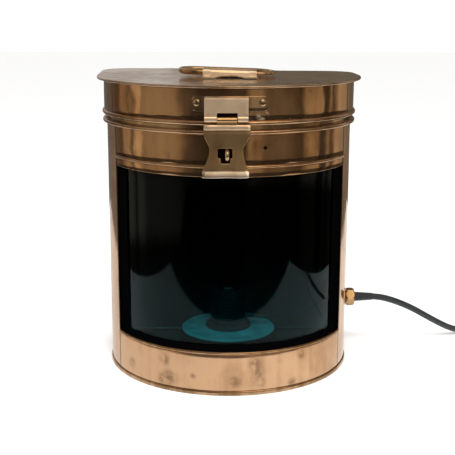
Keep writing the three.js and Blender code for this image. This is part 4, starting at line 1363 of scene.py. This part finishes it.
def world_sky():
    """White for the camera and for soft light. Reflected rays, and rays that have passed through glass,
    see a dim brown room with upright bright and dark bands, a lit wall behind and a soft box in front."""
    world = bpy.data.worlds.new("studio")
    bpy.context.scene.world = world
    s = Shader("studio", world)
    way = s.node("TexCoord").outputs["Generated"]
    split = s.node("SeparateXYZ", {"Vector": way})
    x, y, z = (split.outputs[k] for k in "XYZ")
    turn = s.math("ARCTAN2", x, s.times(y, -1.0))
    ramp = s.node("ValToRGB", {"Fac": s.plus(s.times(turn, 1 / math.tau), 0.5)})
    stops = ramp.color_ramp.elements
    for number, (degrees, level) in enumerate(ROOM):
        place = (degrees + 180) / 360
        stop = stops[0] if number == 0 else stops[-1] if number == len(ROOM) - 1 else stops.new(place)
        stop.position = place
        stop.color = (level, level, level, 1)
    level = s.node("SeparateColor", {"Color": ramp.outputs["Color"]}).outputs[0]
    on_left = s.map(turn, math.radians(-40), math.radians(-50))
    height = s.plus(z, s.times(on_left, 0.055))
    level = s.times(level, s.map(height, -0.19, -0.165, 0.1, 1.0))
    behind = s.map(s.math("ABSOLUTE", turn), math.radians(128), math.radians(145))
    wall = s.map(x, -0.05, 0.01, 0.55, 0.14)
    wall = s.plus(0.15, s.times(s.map(z, -0.02, 0.04), s.minus(wall, 0.15)))
    level = s.plus(s.times(level, s.minus(1.0, behind)),
                   s.times(wall, behind))
    ceiling = s.map(z, 0.45, 0.8)
    level = s.plus(s.times(level, s.minus(1.0, ceiling)),
                   s.times(ceiling, 0.32))
    box = s.times(s.map(turn, math.radians(-12), math.radians(-4)),
                  s.map(turn, math.radians(64), math.radians(56)))
    box = s.times(box, s.times(s.map(z, 0.20, 0.60), s.map(z, 0.975, 0.94)))
    level = s.plus(level, s.times(box, 1.2))
    room_strong = s.node("VectorMath", operation="SCALE")
    daylight = s.times(behind, s.map(x, 0.01, -0.05))
    s.feed(room_strong.inputs[0], s.mix(daylight, (1.0, 0.85, 0.64), (1.0, 0.97, 0.92)))
    s.feed(room_strong.inputs["Scale"], level)
    rays = s.node("LightPath").outputs
    soft_ray = s.math("MAXIMUM", rays["Is Camera Ray"], rays["Is Diffuse Ray"])
    colour = s.mix(soft_ray, room_strong.outputs["Vector"], (1.08, 1.08, 1.08))
    sky = s.node("Background", {"Color": colour, "Strength": 1.0})
    s.feed(s.node("OutputWorld").inputs["Surface"], sky.outputs["Background"])
    world.cycles.sampling_method = "NONE"       # so that each kind of ray sees its own sky


def area_light(name, at, aim, size, power):
    data = bpy.data.lights.new(name, "AREA")
    data.shape = "RECTANGLE"
    data.size, data.size_y = size
    data.energy = power
    obj = bpy.data.objects.new(name, data)
    bpy.context.scene.collection.objects.link(obj)
    obj.location = at
    obj.rotation_euler = (Vector(aim) - Vector(at)).to_track_quat("-Z", "Y").to_euler()
    obj.visible_glossy = False


make_stage()
world_sky()
area_light("key", (-0.9, -1.3, 1.7), (0, 0, 0.1), (1.0, 1.0), 14)
area_light("front_top", (0.1, -0.75, 0.95), (0, 0.02, 0.0), (0.3, 0.3), 8)
bpy.context.scene.view_settings.view_transform = "Standard"
